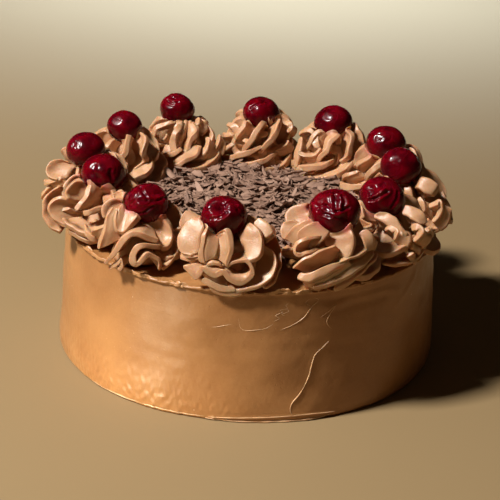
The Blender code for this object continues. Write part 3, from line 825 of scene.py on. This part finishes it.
        ([(19, -5, 20), (22.5, -1, 16), (24, 2, 11), (22.5, 6, 6), (17, 12, 3), (10, 16, 2)],
         (6, 3, 9), 0.8, 1.0),
        ([(-14, 14, 15), (-9, 18, 12), (-3, 20, 11), (3, 19.5, 12.5), (8, 17, 15)], (-2, 8, 13), 1.0, 0.0),
        ([(-10, 2, 32), (-13.5, 4, 30), (-15, 7, 26), (-14.5, 10, 21), (-11, 13, 17)],
         (-3, 2, 23), 1.0, 0.0),
    ),
    7: (
        ([(-21.6, 2, 26.1), (-16.5, 6, 30.2), (-12.8, 9, 28.8)], leaning(LEFT), (0.9, 1.4, 0.8), 0.0),
        ([(-20.4, 7, 25.6), (-21.4, 11, 20.8), (-22.3, 14, 14.9), (-22.9, 15, 9.1)],
         leaning((-0.7, 0.4, 0.6), (-0.7, 0.6, 0.35)), (1.4, 2.0, 1.2), 0.0),
        ([(-2.2, 8, 29.8), (0.3, 11, 27.9), (2.2, 12, 24.1)],
         leaning(HALF_LEFT, FORWARD), (1.3, 2.0, 1.2), 0.0),
        ([(-21.7, 14, 18.4), (-16.8, 16, 18), (-11.6, 17, 19), (-8.1, 16, 22.3)],
         leaning(LEFT, HALF_LEFT), (0.8, 1.2, 0.7), 0.0),
        ([(-22.1, 18, 10.2), (-16.4, 19.5, 9.7), (-10.7, 20, 10.6), (-4.4, 19, 14)],
         leaning(LEFT, FORWARD), (0.8, 1.2, 0.6), 0.0),
        ([(-10.7, 9, 28.5), (-11.4, 12, 25.1), (-9.6, 14, 21.5)],
         leaning(HALF_LEFT, FORWARD), (1.0, 1.5, 1.0), 0.0),
        ([(5.9, 4, 28.5), (8.5, 8, 24.8), (7.4, 11, 20.5)],
         leaning(HALF_LEFT, (0.2, 0.8, 0.5)), (1.0, 1.5, 0.8), 0.0),
        ([(-2.2, 14, 21.1), (1.2, 15, 18.1), (0.7, 16, 13.2), (-4.9, 18, 9.3)],
         leaning(LEFT, FORWARD), (0.8, 1.2, 0.7), 0.0),
    ),
    8: (
        ([(-3.6, 13, 24.5), (0.8, 14.5, 24.4), (5.0, 14, 24.6)],
         [(-1.0, 6, 18), (0.8, 6.5, 18), (2.8, 6, 18)], (1.0, 1.7, 1.1), 0.0),
        ([(-10.7, 8, 25.9), (-13.9, 11, 21.9), (-16.1, 13, 16.5), (-13.9, 15, 12.5), (-8.7, 17, 11.9),
          (-3, 18, 11.9), (2.8, 18, 8.9)], leaning(LEFT, HALF_LEFT, LEFT), (0.9, 1.4, 0.6), 0.0),
        ([(5.2, 13, 22.3), (1.7, 15, 18.6), (-2.1, 17, 14.9)], leaning(LEFT), (0.8, 1.3, 0.7), 0.0),
        ([(-20.7, -2, 24.6), (-16.5, 2, 24.9), (-14, 5, 21.7), (-13.8, 8, 17.3)],
         leaning(LEFT, (-0.5, 0.5, 0.7)), (1.0, 1.8, 1.0), 0.0),
        ([(13.7, 3, 28.5), (17.1, 6, 29), (18.4, 8, 26.7), (16.2, 10, 24.9)],
         leaning(HALF_LEFT, FORWARD), (0.9, 1.5, 0.9), 0.0),
        ([(4.8, 16, 14.3), (9.2, 16, 16.3), (15.4, 14, 18.4), (17.5, 12, 20.8)],
         leaning(FORWARD, LEFT), (0.9, 1.3, 0.9), 0.0),
        ([(-12.5, 18, 7.5), (-9.6, 19, 6.2), (-6.2, 19, 5.8)],
         leaning(LEFT, FORWARD), (0.9, 1.6, 0.8), 0.0),
        ([(-9.8, 12, 20), (-6.8, 15, 18.8), (-7.8, 17, 15.8)],
         leaning(HALF_LEFT, FORWARD), (0.8, 1.3, 0.7), 0.0),
    ),
    9: (
        ([(8.9, 2, 32.2), (8, 5, 29.6), (6.2, 7, 27.2)], leaning(LEFT), (1.0, 1.6, 1.0), 0.0),
        ([(-0.6, 17, 11.5), (5.6, 18, 13.4), (11.6, 17, 15.1), (15, 15, 19), (15.3, 12, 23.9)],
         leaning(LEFT, HALF_LEFT), (1.0, 1.9, 1.0), 0.0),
        ([(22.1, 6, 23.5), (21.2, 9, 19.7), (19.7, 11, 16.1)], leaning(LEFT), (0.8, 1.3, 0.7), 0.0),
        ([(-2.2, 8, 31.7), (-1.7, 11, 29.2), (-1.8, 13, 25.7)],
         leaning((-0.2, 0.7, 0.7), FORWARD), (1.6, 2.3, 1.6), 0.0),
        ([(-11.3, 6, 27.1), (-9.9, 9, 24.1), (-11.3, 11, 20.5)], leaning(LEFT), (1.0, 1.7, 1.0), 0.0),
        ([(-4.4, 14, 20.1), (-3.3, 16, 16.7), (-4.6, 17, 12.8)],
         leaning(HALF_LEFT, FORWARD), (1.2, 1.9, 1.2), 0.0),
        ([(5.9, 10, 25.2), (7, 13, 22.1), (5.3, 15, 18.5)],
         leaning(HALF_LEFT, FORWARD), (0.8, 1.2, 0.7), 0.0),
    ),
    11: (
        ([(-12.1, 0, 25.9), (-18, 0, 26.7), (-22.6, 2, 24.4), (-24.2, 4, 21), (-21.9, 7, 18.5),
          (-17.1, 9, 17.3)],
         [(-7.4, 0, 23.3), (-9.5, 2, 21.7), (-10.6, 4, 20.2), (-11, 5, 18.3)], (0.7, 1.0, 0.7), -0.8),
        ([(-4.6, 4, 28), (-5.6, 7, 25.2), (-6.4, 9, 20.8), (-5.8, 10, 16.8)],
         [(-3.1, 0, 22.9), (-3.9, 2, 19.9), (-4.1, 3, 15.8)], (0.4, 0.9, 0.6), 0.0, 3.0),
        ([(-18.6, 4, 14.3), (-23.5, 4, 11.5), (-26.6, 3, 7.4), (-27.4, -1, 4), (-25, -8, 3)],
         (-8, 0, 8), (0.8, 1.2, 0.6), 0.0),
        ([(-12.2, 10, 12), (-17.7, 10, 11), (-22.2, 9, 8), (-24.6, 5, 4.5), (-24.5, -1, 2.5)],
         (-7, 3, 5), (0.6, 1.2, 0.6), 0.0),
        ([(3, 5, 30), (5.5, 8, 27), (6, 11, 22), (4, 13, 17)],
         [(1, 1, 25), (2, 3, 22), (2, 5, 18)], (0.5, 1.0, 0.6), 0.5, -3.0),
    ),
    12: (
        ([(-9, 6, 32.5), (-12.5, 7, 32.5), (-16, 8.5, 30), (-18, 9.5, 26.5), (-17, 12, 23)],
         [(-4, 3, 29), (-6, 5, 27), (-7, 6, 24), (-8, 7, 21)], 1.0, -0.5),
        ([(-5, 7, 33.5), (-5.8, 11, 31), (-6.8, 15, 27), (-8.9, 17.8, 24), (-11.5, 19.5, 21)],
         [(0, 2, 30), (0, 4, 27), (-1, 6, 23), (-3, 8, 19)], 1.0, 0.5),
        ([(1, 5, 32.5), (4.5, 7.5, 31), (7.5, 9.5, 28), (8.5, 12, 25), (6, 14, 23.5), (2.5, 15, 24)],
         [(-1, 1, 30), (0, 2, 28), (1, 3, 26), (0, 5, 24)], 1.0, 0.5),
        ([(10, -5, 32), (14, -3, 31), (18, -1, 28), (20, 2, 24), (18, 5, 21)], (5, -1, 26), 1.0, 0.5),
        ([(-8, 19.5, 19), (-4, 21, 20.8), (1, 19.5, 22), (6, 17, 22.5)], (-1, 9, 18), 1.0, 0.0),
        ([(-19, 12, 12.5), (-16.5, 15, 10.4), (-13, 17.5, 9.5), (-8, 20, 8), (-2, 21, 7.8), (5, 20, 9.5),
          (11, 17, 12)], (-4, 8, 13), 1.1, 0.0),
        ([(-17, 13, 7), (-13, 16, 5.8), (-8, 19, 4.6), (-2, 20, 4), (5, 19, 4.5)], (-3, 9, 7), 1.0, 0.0),
        ([(-16.3, 10, 23), (-21.6, 9, 23), (-25.6, 9, 20.7), (-26.8, 10, 16.8), (-24.6, 12, 12.8),
          (-20.4, 14, 10.3), (-16.3, 15, 10.6)],
         [(-9, 6, 20), (-11, 5, 19.5), (-13, 5, 17), (-13, 6, 14), (-12, 7, 11.5), (-10, 8, 10)],
          (0.6, 1.2, 0.7), 0.0),
        ([(-22, 2, 27.4), (-27.1, 3, 24), (-30, 4, 20), (-30.6, 6, 15.1), (-29.2, 8, 10.3),
          (-25.3, 10, 6.3), (-20.4, 12, 4.6)],
         [(-15.7, 0, 23.5), (-17.6, 1, 20.2), (-18.8, 2, 17), (-17.9, 4, 13.6), (-15.8, 5, 10.5)],
          (0.6, 1.2, 0.9), -1.0),
        ([(-10, -4, 32), (-15, -4, 31.5), (-19, -2, 28), (-21, 1, 23), (-19, 4, 19)],
         (-6, 0, 25), 1.0, 0.0),
    ),
}
# For each swirl, the directions of its petals and of its ribbons of the usual shape, in degrees
# from its right-hand side round by its front, which for a swirl with laid blades is the front
# of the cake and for any other is the cake's edge.
USUAL = {
    1: ((225, 275, 320), (205, 255, 310, 350)),
    2: ((205, 250, 292, 325), (190, 240, 300)),
    3: ((235, 275, 318), (200, 250, 300, 350)),
    4: ((225, 270, 315), (170, 210, 255, 300, 340)),
    5: ((200, 245, 290, 330), (185, 230, 280, 330)),
    11: ((215, 255, 295, 335, 20), (200, 240, 280, 320, 0, 40, 75)),
    12: ((235, 280, 325), (200, 240, 285, 330, 20, 60)),
}
EVEN = ((8, 58, 97, 141, 188, 229, 277, 320), (0, 48, 95, 135, 176, 225, 268, 315))


def swirl_core(girth, rise):
    """The middle of a swirl, all but hidden: a low dome, from a wide foot to under the cherry."""
    steps = np.linspace(0, 2 * np.pi, 40, endpoint=False)
    rings = []
    for out, up in (
        (4, 0.2), (11, 0.2), (13, 1.2), (13.4, 4), (11.5, 8), (9.5, 11), (8, 14), (6.5, 17), (5, 19), (3, 20),
    ):
        ring = [girth * out * np.cos(steps), girth * out * np.sin(steps), rise * up + 0 * steps]
        rings.append(np.stack(ring, -1))
    return np.array(rings)


# How far the swirls at the front are drawn back from over the edge, from 0 to 1.
DRAWN_BACK = {1: 0.45, 2: 1.0, 3: 0.9}


def pressed(points, index, low, cherry, half):
    """Cream gives way: past the cake's edge it is drawn back and sinks, it is held over the
    top, opens round the cherry, and flattens against the planes midway to its neighbours."""
    away = np.hypot(points[..., 0], points[..., 1])
    hung = np.maximum(away - EDGE_RADIUS, 0)
    pulled = DRAWN_BACK.get(index + 1, 0.0) * (hung - hung / (1 + hung / (7 * MM)))
    points[..., :2] *= (1 - pulled / away)[..., None]
    points[..., 2] -= 0.42 * pulled
    away = away - pulled
    floor = CAKE_TOP - 2.2 * MM * ease((away - EDGE_RADIUS + 1 * MM) / (7 * MM))
    over = (points[..., 2] - floor) / MM
    soft = 1.2
    over = np.where(over < soft, soft * np.exp(np.minimum(over - soft, 0) / soft), over)
    points[..., 2] = floor + over * MM
    offset = (points - cherry) / half
    under = ease(1.5 * (1.2 - np.hypot(offset[..., 0], offset[..., 1])))
    offset[..., 2] -= 0.8 * under * np.maximum(offset[..., 2], 0)
    size = np.linalg.norm(offset, axis=-1)
    shell = 1.2
    grown = np.where(size < shell, 1.0 + (shell - 1.0) * (size / shell) ** 1.5, size)
    points = cherry + offset * (grown / np.maximum(size, 1e-6))[..., None] * half
    for other in (index - 1, (index + 1) % len(swirl_foot)):
        towards = swirl_foot[other] - low
        limit = 1.09 * np.linalg.norm(towards) / 2
        towards = towards / np.linalg.norm(towards)
        past = np.maximum((points - low) @ towards, 0) / limit
        kept = past / (1 + past ** 7) ** (1 / 7)
        points = points - ((past - kept) * limit)[..., None] * towards
    return points


def foot_middle(name):
    """The middle of a CAD node's flat foot."""
    corners = np.array([v.co for v in frame["nodes"][name].data.vertices])
    sole = corners[corners[:, 2] < corners[:, 2].min() + 0.1 * MM]
    return (sole.min(axis=0) + sole.max(axis=0)) / 2


SWIRLS = 12
swirl_foot = [foot_middle(f"swirl_{i + 1:02d}") for i in range(SWIRLS)]
# How strongly cherry juice has stained each swirl, where 1 is a plain stain.
JUICE = (1.6, 0.5, 1.7, 1.2, 0.6, 1.2, 0.5, 0.5, 0.5, 0.5, 0.6, 1.2)
PIPED_SHADES = srgb(176, 130, 91), srgb(196, 149, 110), srgb(224, 184, 152)
swirl_look = buttercream("Piped buttercream", *PIPED_SHADES, sleek=0.31, dull=0.50, grain=0.08)
swirl_look.shader.inputs["Subsurface Weight"].default_value = 0.45
swirl_look.shader.inputs["Subsurface Radius"].default_value = (1.0, 0.42, 0.16)
swirl_look.shader.inputs["Subsurface Scale"].default_value = 3.2 * MM
swirl_look.bump(swirl_look.noise(0.9 * MM, 2, 0.5), 0.10 * MM)
stain = swirl_look.ramp(swirl_look.attribute("juice"), 0.0, 0.0, 1.0, 0.85)
stained = swirl_look.blend(stain, swirl_look.base, srgb(196, 92, 92))
swirl_look.put(swirl_look.shader.inputs["Base Color"], stained)


def set_down(rings, index, facing):
    """Brings rings in a swirl's own mm to their place: turned so that its outer side looks the
    given way, roughened a little by hand, moved to its foot, and pressed."""
    low = swirl_foot[index]
    cherry_low, cherry_high = (np.array(corner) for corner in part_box(f"cherry_{index + 1:02d}"))
    cherry, half = (cherry_low + cherry_high) / 2, (cherry_high - cherry_low) / 2
    c, s = math.cos(facing), math.sin(facing)
    across, out = rings[..., 0], rings[..., 1]
    points = np.stack([-s * across + c * out, c * across + s * out, rings[..., 2]], -1)
    points = low + points * MM
    drift = np.stack([random_field(points, 9 * MM, 200 + k) for k in range(3)], -1)
    points = points + 0.22 * MM * drift
    return pressed(points, index, low, cherry, half), (cherry, half)


# A swirl with petals of its own has a slim core; the others have plumper petals and a stout one.
SLIM_CORE, STOUT_CORE = (1.0, 1.0), (1.5, 1.3)
PLUMP = 1.3
for i in range(SWIRLS):
    petals, ribbons = USUAL.get(i + 1, EVEN)
    laid = [blade(*row) for row in LAID.get(i + 1, ())]
    facing = -math.pi / 2 if laid else math.atan2(swirl_foot[i][1], swirl_foot[i][0])
    near_side = i + 1 in USUAL
    rings = np.array(laid + usual_blades(400 + i, petals, ribbons, 1.0 if near_side else PLUMP))
    points, (cherry, half) = set_down(rings, i, facing)
    core_points, _ = set_down(swirl_core(*(SLIM_CORE if near_side else STOUT_CORE)), i, facing)
    piece = lofted(f"piped_swirl_{i + 1:02d}", points)
    heart = lofted(f"swirl_heart_{i + 1:02d}", core_points)
    near = np.linalg.norm((points - cherry) / half, axis=-1) - 1.0
    patchy = 0.5 + 0.5 * random_field(points, 8 * MM, 300 + i)
    juice = JUICE[i] * np.exp(-np.maximum(near - 0.05, 0) / 0.16) * np.clip(patchy, 0, 1)
    juice = np.concatenate([juice.reshape(len(points), -1), np.zeros((len(points), 2))], axis=1)
    tint(piece, "juice", juice)
    fit(piece, swirl_look.material, "swirl_cream", f"swirl_{i + 1:02d}")
    fit(heart, swirl_look.material, "swirl_cream")

# ---------------------------------------------------------------------------------------
# The cherries.  Pitted sour cherries out of syrup, one pressed into each swirl: dark wine
# red, wet and glossy, their skins slack, so that each is dented and creased its own way.
# ---------------------------------------------------------------------------------------

RINGS, MERIDIANS = 96, 150
# For each cherry, its dents: degrees round, degrees up, and half width and depth in shares of
# the cherry's own size.  Those of cherries 1, 2, 3, 11 and 12 are at measured places.
CHERRY_DENTS = (
    ((294, 7, 0.65, 0.12), (235, 15, 0.16, 0.06), (307, 56, 0.30, 0.09), (338, 43, 0.22, 0.05)),
    ((255, 47, 0.30, 0.32), (228, 17, 0.13, 0.06), (297, -12, 0.55, 0.08)),
    ((245, 35, 0.33, 0.15), (240, 3, 0.25, 0.10), (298, 31, 0.22, 0.10), (296, 6, 0.22, 0.09),
     (214, 27, 0.18, 0.06)),
    ((225, 40, 0.28, 0.12), (285, 20, 0.30, 0.10), (265, 62, 0.20, 0.07)),
    ((250, 10, 0.35, 0.06), (300, 50, 0.22, 0.06)),
    ((90, 60, 0.25, 0.12), (240, 25, 0.18, 0.05)),
    ((60, 50, 0.22, 0.08), (262, 70, 0.25, 0.06)),
    ((300, 66, 0.24, 0.14), (240, 20, 0.20, 0.05)),
    ((250, 70, 0.26, 0.16), (300, 20, 0.22, 0.06)),
    ((70, 60, 0.20, 0.08), (310, 35, 0.25, 0.05)),
    ((190, 80, 0.16, 0.13), (305, 53, 0.20, 0.05)),
    ((245, 20, 0.22, 0.08), (262, 9, 0.17, 0.08), (298, 18, 0.22, 0.08), (243, 41, 0.15, 0.05)),
)
# Folds in the skin, by cherry: a path of (degrees round, degrees up), half width and depth.
# Those of cherries 1, 2, 3 and 12 are at measured places.
CHERRY_FOLDS = {
    1: (([(213, 69), (258, 54), (271, 43), (276, 33)], 0.07, 0.06),
        ([(252, 29), (275, 29), (297, 29), (321, 25)], 0.10, 0.05),
        ([(268, -7), (275, -1), (284, 7), (292, 11)], 0.06, 0.06),
        ([(311, 30), (324, 30), (346, 27)], 0.06, 0.05)),
    2: (([(238, 11), (256, 17), (271, 26), (280, 35)], 0.07, 0.06),
        ([(196, 19), (201, 2), (206, -19)], 0.07, 0.06),
        ([(314, 37), (320, 25), (329, 13)], 0.05, 0.04), ([(283, 59), (312, 63), (324, 52)], 0.07, 0.05)),
    3: (([(228, 21), (237, 15), (247, 14), (257, 13)], 0.07, 0.07),
        ([(266, 64), (269, 43), (271, 27)], 0.09, 0.08),
        ([(306, 64), (301, 48), (292, 37)], 0.07, 0.07), ([(231, 40), (251, 35)], 0.05, 0.05),
        ([(272, 25), (285, 28), (308, 34)], 0.06, 0.07)),
    4: (([(235, 10), (255, 22), (280, 40)], 0.07, 0.08), ([(290, -5), (305, 15), (315, 35)], 0.06, 0.06)),
    8: (([(230, 30), (250, 48), (280, 60)], 0.07, 0.06),),
    9: (([(225, 45), (250, 40), (275, 44)], 0.07, 0.06),),
    12: (([(299, 32), (295, 19), (300, 3)], 0.07, 0.05),),
}
# Where each skin has sunk flat, towards the side it lay on: degrees round, degrees up, and
# half width in degrees.
CHERRY_FLATS = (
    (236, 32, 12), (233, 30, 10), (246, 50, 12), (238, 33, 13), (244, 38, 15), (243, 38, 16),
    (241, 37, 17), (240, 38, 15), (243, 36, 18), (240, 38, 18), (239, 36, 17), (243, 41, 12),
)
# How hard each skin is pressed to its flat, and how softly the flat's edge turns.
FLAT_SHARE, FLAT_EDGE = 0.75, 0.004
# How slack the rest of each skin is.
SLACK = (0.5, 0.35, 0.6, 0.7, 0.3, 0.4, 0.25, 0.4, 0.5, 0.25, 0.3, 0.35)


def pointing(round_degrees, up_degrees):
    """The unit arrow that points so many degrees round and so many up."""
    turn, up = np.radians(round_degrees), np.radians(up_degrees)
    return np.stack([np.cos(up) * np.cos(turn), np.cos(up) * np.sin(turn), np.sin(up)], -1)


def cherry_points(number):
    """A sphere fitted to the CAD cherry's box, drawn in by a bell curve at each dent, and along
    folds whose two sides stand up; its slack skin also creases where random fields cross nought;
    one patch of it is pressed three quarters of the way to a plane."""
    low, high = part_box(f"cherry_{number:02d}")
    middle, half = np.array((low + high) / 2), np.array((high - low) / 2)
    polar = np.linspace(0, np.pi, RINGS + 2)[1:-1, None]
    turn = np.linspace(0, 2 * np.pi, MERIDIANS, endpoint=False)[None]
    way = np.stack([np.sin(polar) * np.cos(turn), np.sin(polar) * np.sin(turn), np.cos(polar) + 0 * turn], -1)
    seed = 493 + 7 * number
    size = 1.03 + 0.020 * random_field(way, 1.7, seed)
    for round_deg, up_deg, wide, deep in CHERRY_DENTS[number - 1]:
        apart = np.arccos(np.clip(way @ pointing(round_deg, up_deg), -1, 1)) / wide
        size = size - deep * np.exp(-(apart**2)) + 0.07 * deep * np.exp(-(((apart - 1.8) / 0.6) ** 2))
    for path, wide, deep in CHERRY_FOLDS.get(number, ()):
        stops = pointing(*np.array(path, float).T)
        along, _ = smooth_curve(stops, 30)
        along /= np.linalg.norm(along, axis=1, keepdims=True)
        apart = np.arccos(np.clip((way @ along.T).max(axis=-1), -1, 1)) / wide
        size = size - deep * np.exp(-(apart**2)) + 0.4 * deep * np.exp(-(((apart - 2) / 0.8) ** 2))
    bent = way + 0.16 * np.stack([random_field(way, 1.1, seed + k) for k in (1, 2, 3)], -1)
    for scale, depth, narrow, part in ((1.9, 0.085, 0.16, 4), (1.1, 0.05, 0.16, 5)):
        field = np.abs(random_field(bent, scale, seed + part))
        where = ease(0.5 + 0.8 * random_field(way, 1.8, seed + part + 10))
        fold = np.exp(-field / narrow) - 0.35 * np.exp(-(((field - 3 * narrow) / (2 * narrow)) ** 2))
        size = size - SLACK[number - 1] * depth * where * fold
    round_deg, up_deg, reach = CHERRY_FLATS[number - 1]
    facing = np.clip(way @ pointing(round_deg, up_deg), 0.1, 1)
    over = np.log(np.cos(np.radians(reach)) / facing)
    size = size * np.exp(-FLAT_SHARE * FLAT_EDGE * np.log1p(np.exp(-over / FLAT_EDGE)))
    return middle + way * size[..., None] * half


skin = Recipe("Wet cherry skin", 0.12, 0.14)
patches = skin.ramp(skin.noise(7 * MM, 4), 0.35, 0.0, 0.7, 1.0)
skin.put(skin.shader.inputs["Base Color"], skin.blend(patches, srgb(68, 0, 9), srgb(106, 1, 14)))
skin.put(skin.shader.inputs["Roughness"], skin.ramp(skin.noise(3 * MM, 3), 0.35, 0.18, 0.7, 0.30))
skin.shader.inputs["Subsurface Weight"].default_value = 0.85
skin.shader.inputs["Subsurface Radius"].default_value = (1.0, 0.10, 0.12)
skin.shader.inputs["Subsurface Scale"].default_value = 7 * MM
skin.shader.inputs["Coat Weight"].default_value = 0.12
skin.shader.inputs["Coat Roughness"].default_value = 0.16
skin.bump(skin.noise(0.9 * MM, 3, 0.5), 0.015 * MM)
for number in range(1, SWIRLS + 1):
    piece = lofted(f"wet_cherry_{number:02d}", cherry_points(number))
    fit(piece, skin.material, "cherry_skin", f"cherry_{number:02d}")

# ---------------------------------------------------------------------------------------
# The studio: a plain floor, a small strong lamp high at the left, a weak wide one at the right
# and another overhead, a low warm one at the front left that lights only the cake, a lamp over
# the floor behind, and the camera in front, above the cake and tipped down at it.
# ---------------------------------------------------------------------------------------

bpy.ops.mesh.primitive_plane_add(size=8.0, location=(0, 0, 0))
floor = bpy.context.object
floor.name = "studio_floor"
floor_look = Recipe("Pale studio floor", 0.7, 0.3)
floor_shade = floor_look.blend(floor_look.noise(0.4), srgb(143, 119, 83), srgb(147, 123, 87))
floor_look.put(floor_look.shader.inputs["Base Color"], floor_shade)
floor.data.materials.append(floor_look.material)

world = bpy.data.worlds.new("Studio air")
bpy.context.scene.world = world
world.use_nodes = True
air = world.node_tree.nodes["Background"].inputs
air["Color"].default_value = (1.0, 0.68, 0.36, 1.0)
air["Strength"].default_value = 0.014
LAMP_BASE = 0.05


def soft_box(name, azimuth, elevation, distance, size, power, colour, aim, spread_degrees=180):
    """A square lamp so far from a point LAMP_BASE above the floor's middle, at an azimuth from +X
    and an elevation, both in degrees, facing the point to aim at."""
    lamp = bpy.data.lights.new(name, "AREA")
    lamp.shape = "SQUARE"
    lamp.size = size
    lamp.spread = math.radians(spread_degrees)
    lamp.energy = power
    lamp.color = colour
    holder = bpy.data.objects.new(name, lamp)
    a, e = math.radians(azimuth), math.radians(elevation)
    reach = distance * math.cos(e)
    holder.location = (reach * math.cos(a), reach * math.sin(a), distance * math.sin(e) + LAMP_BASE)
    holder.rotation_mode = "QUATERNION"
    holder.rotation_quaternion = (Vector(aim) - holder.location).to_track_quat("-Z", "Y")
    holder.visible_camera = False
    bpy.context.scene.collection.objects.link(holder)
    return holder


soft_box("Key soft box", 206, 50, 1.5, 0.2, 40, (1.0, 0.98, 0.95), (0, 0, 0.05))
soft_box("Fill soft box", 335, 35, 1.6, 1.2, 0.10, (1.0, 0.72, 0.40), (0, 0, 0.05))
low_card = soft_box("Low card", 231, -12, 0.24, 0.08, 0.095, (1.0, 0.93, 0.68), (-0.055, -0.085, -0.035), 75)
lit = bpy.data.collections.new("Lit by the low card")
for piece in bpy.data.objects:
    if piece.type == "MESH" and piece != floor:
        lit.objects.link(piece)
low_card.light_linking.receiver_collection = lit
soft_box("Top soft box", 60, 75, 1.5, 1.2, 0.25, (1.0, 0.86, 0.68), (0, 0, 0.08))
soft_box("Backdrop soft box", 90, 54, 1.6, 0.6, 10.3, (0.72, 1.0, 1.51), (0, 1.1, 0), 60)

CAMERA_PLACE = (0.0004, -0.694, 0.342)
TIPPED_DOWN, ROLLED = math.radians(22.83), math.radians(2.72)
camera = bpy.data.cameras.new("Camera")
camera.sensor_width = 36.0
camera.lens = 97.56
camera.clip_start = 0.01
viewer = bpy.data.objects.new("Camera", camera)
viewer.location = CAMERA_PLACE
viewer.rotation_mode = "ZYX"
viewer.rotation_euler = (math.pi / 2 - TIPPED_DOWN, 0.0, ROLLED)
bpy.context.scene.collection.objects.link(viewer)
bpy.context.scene.camera = viewer
bpy.context.scene.view_settings.view_transform = "Standard"
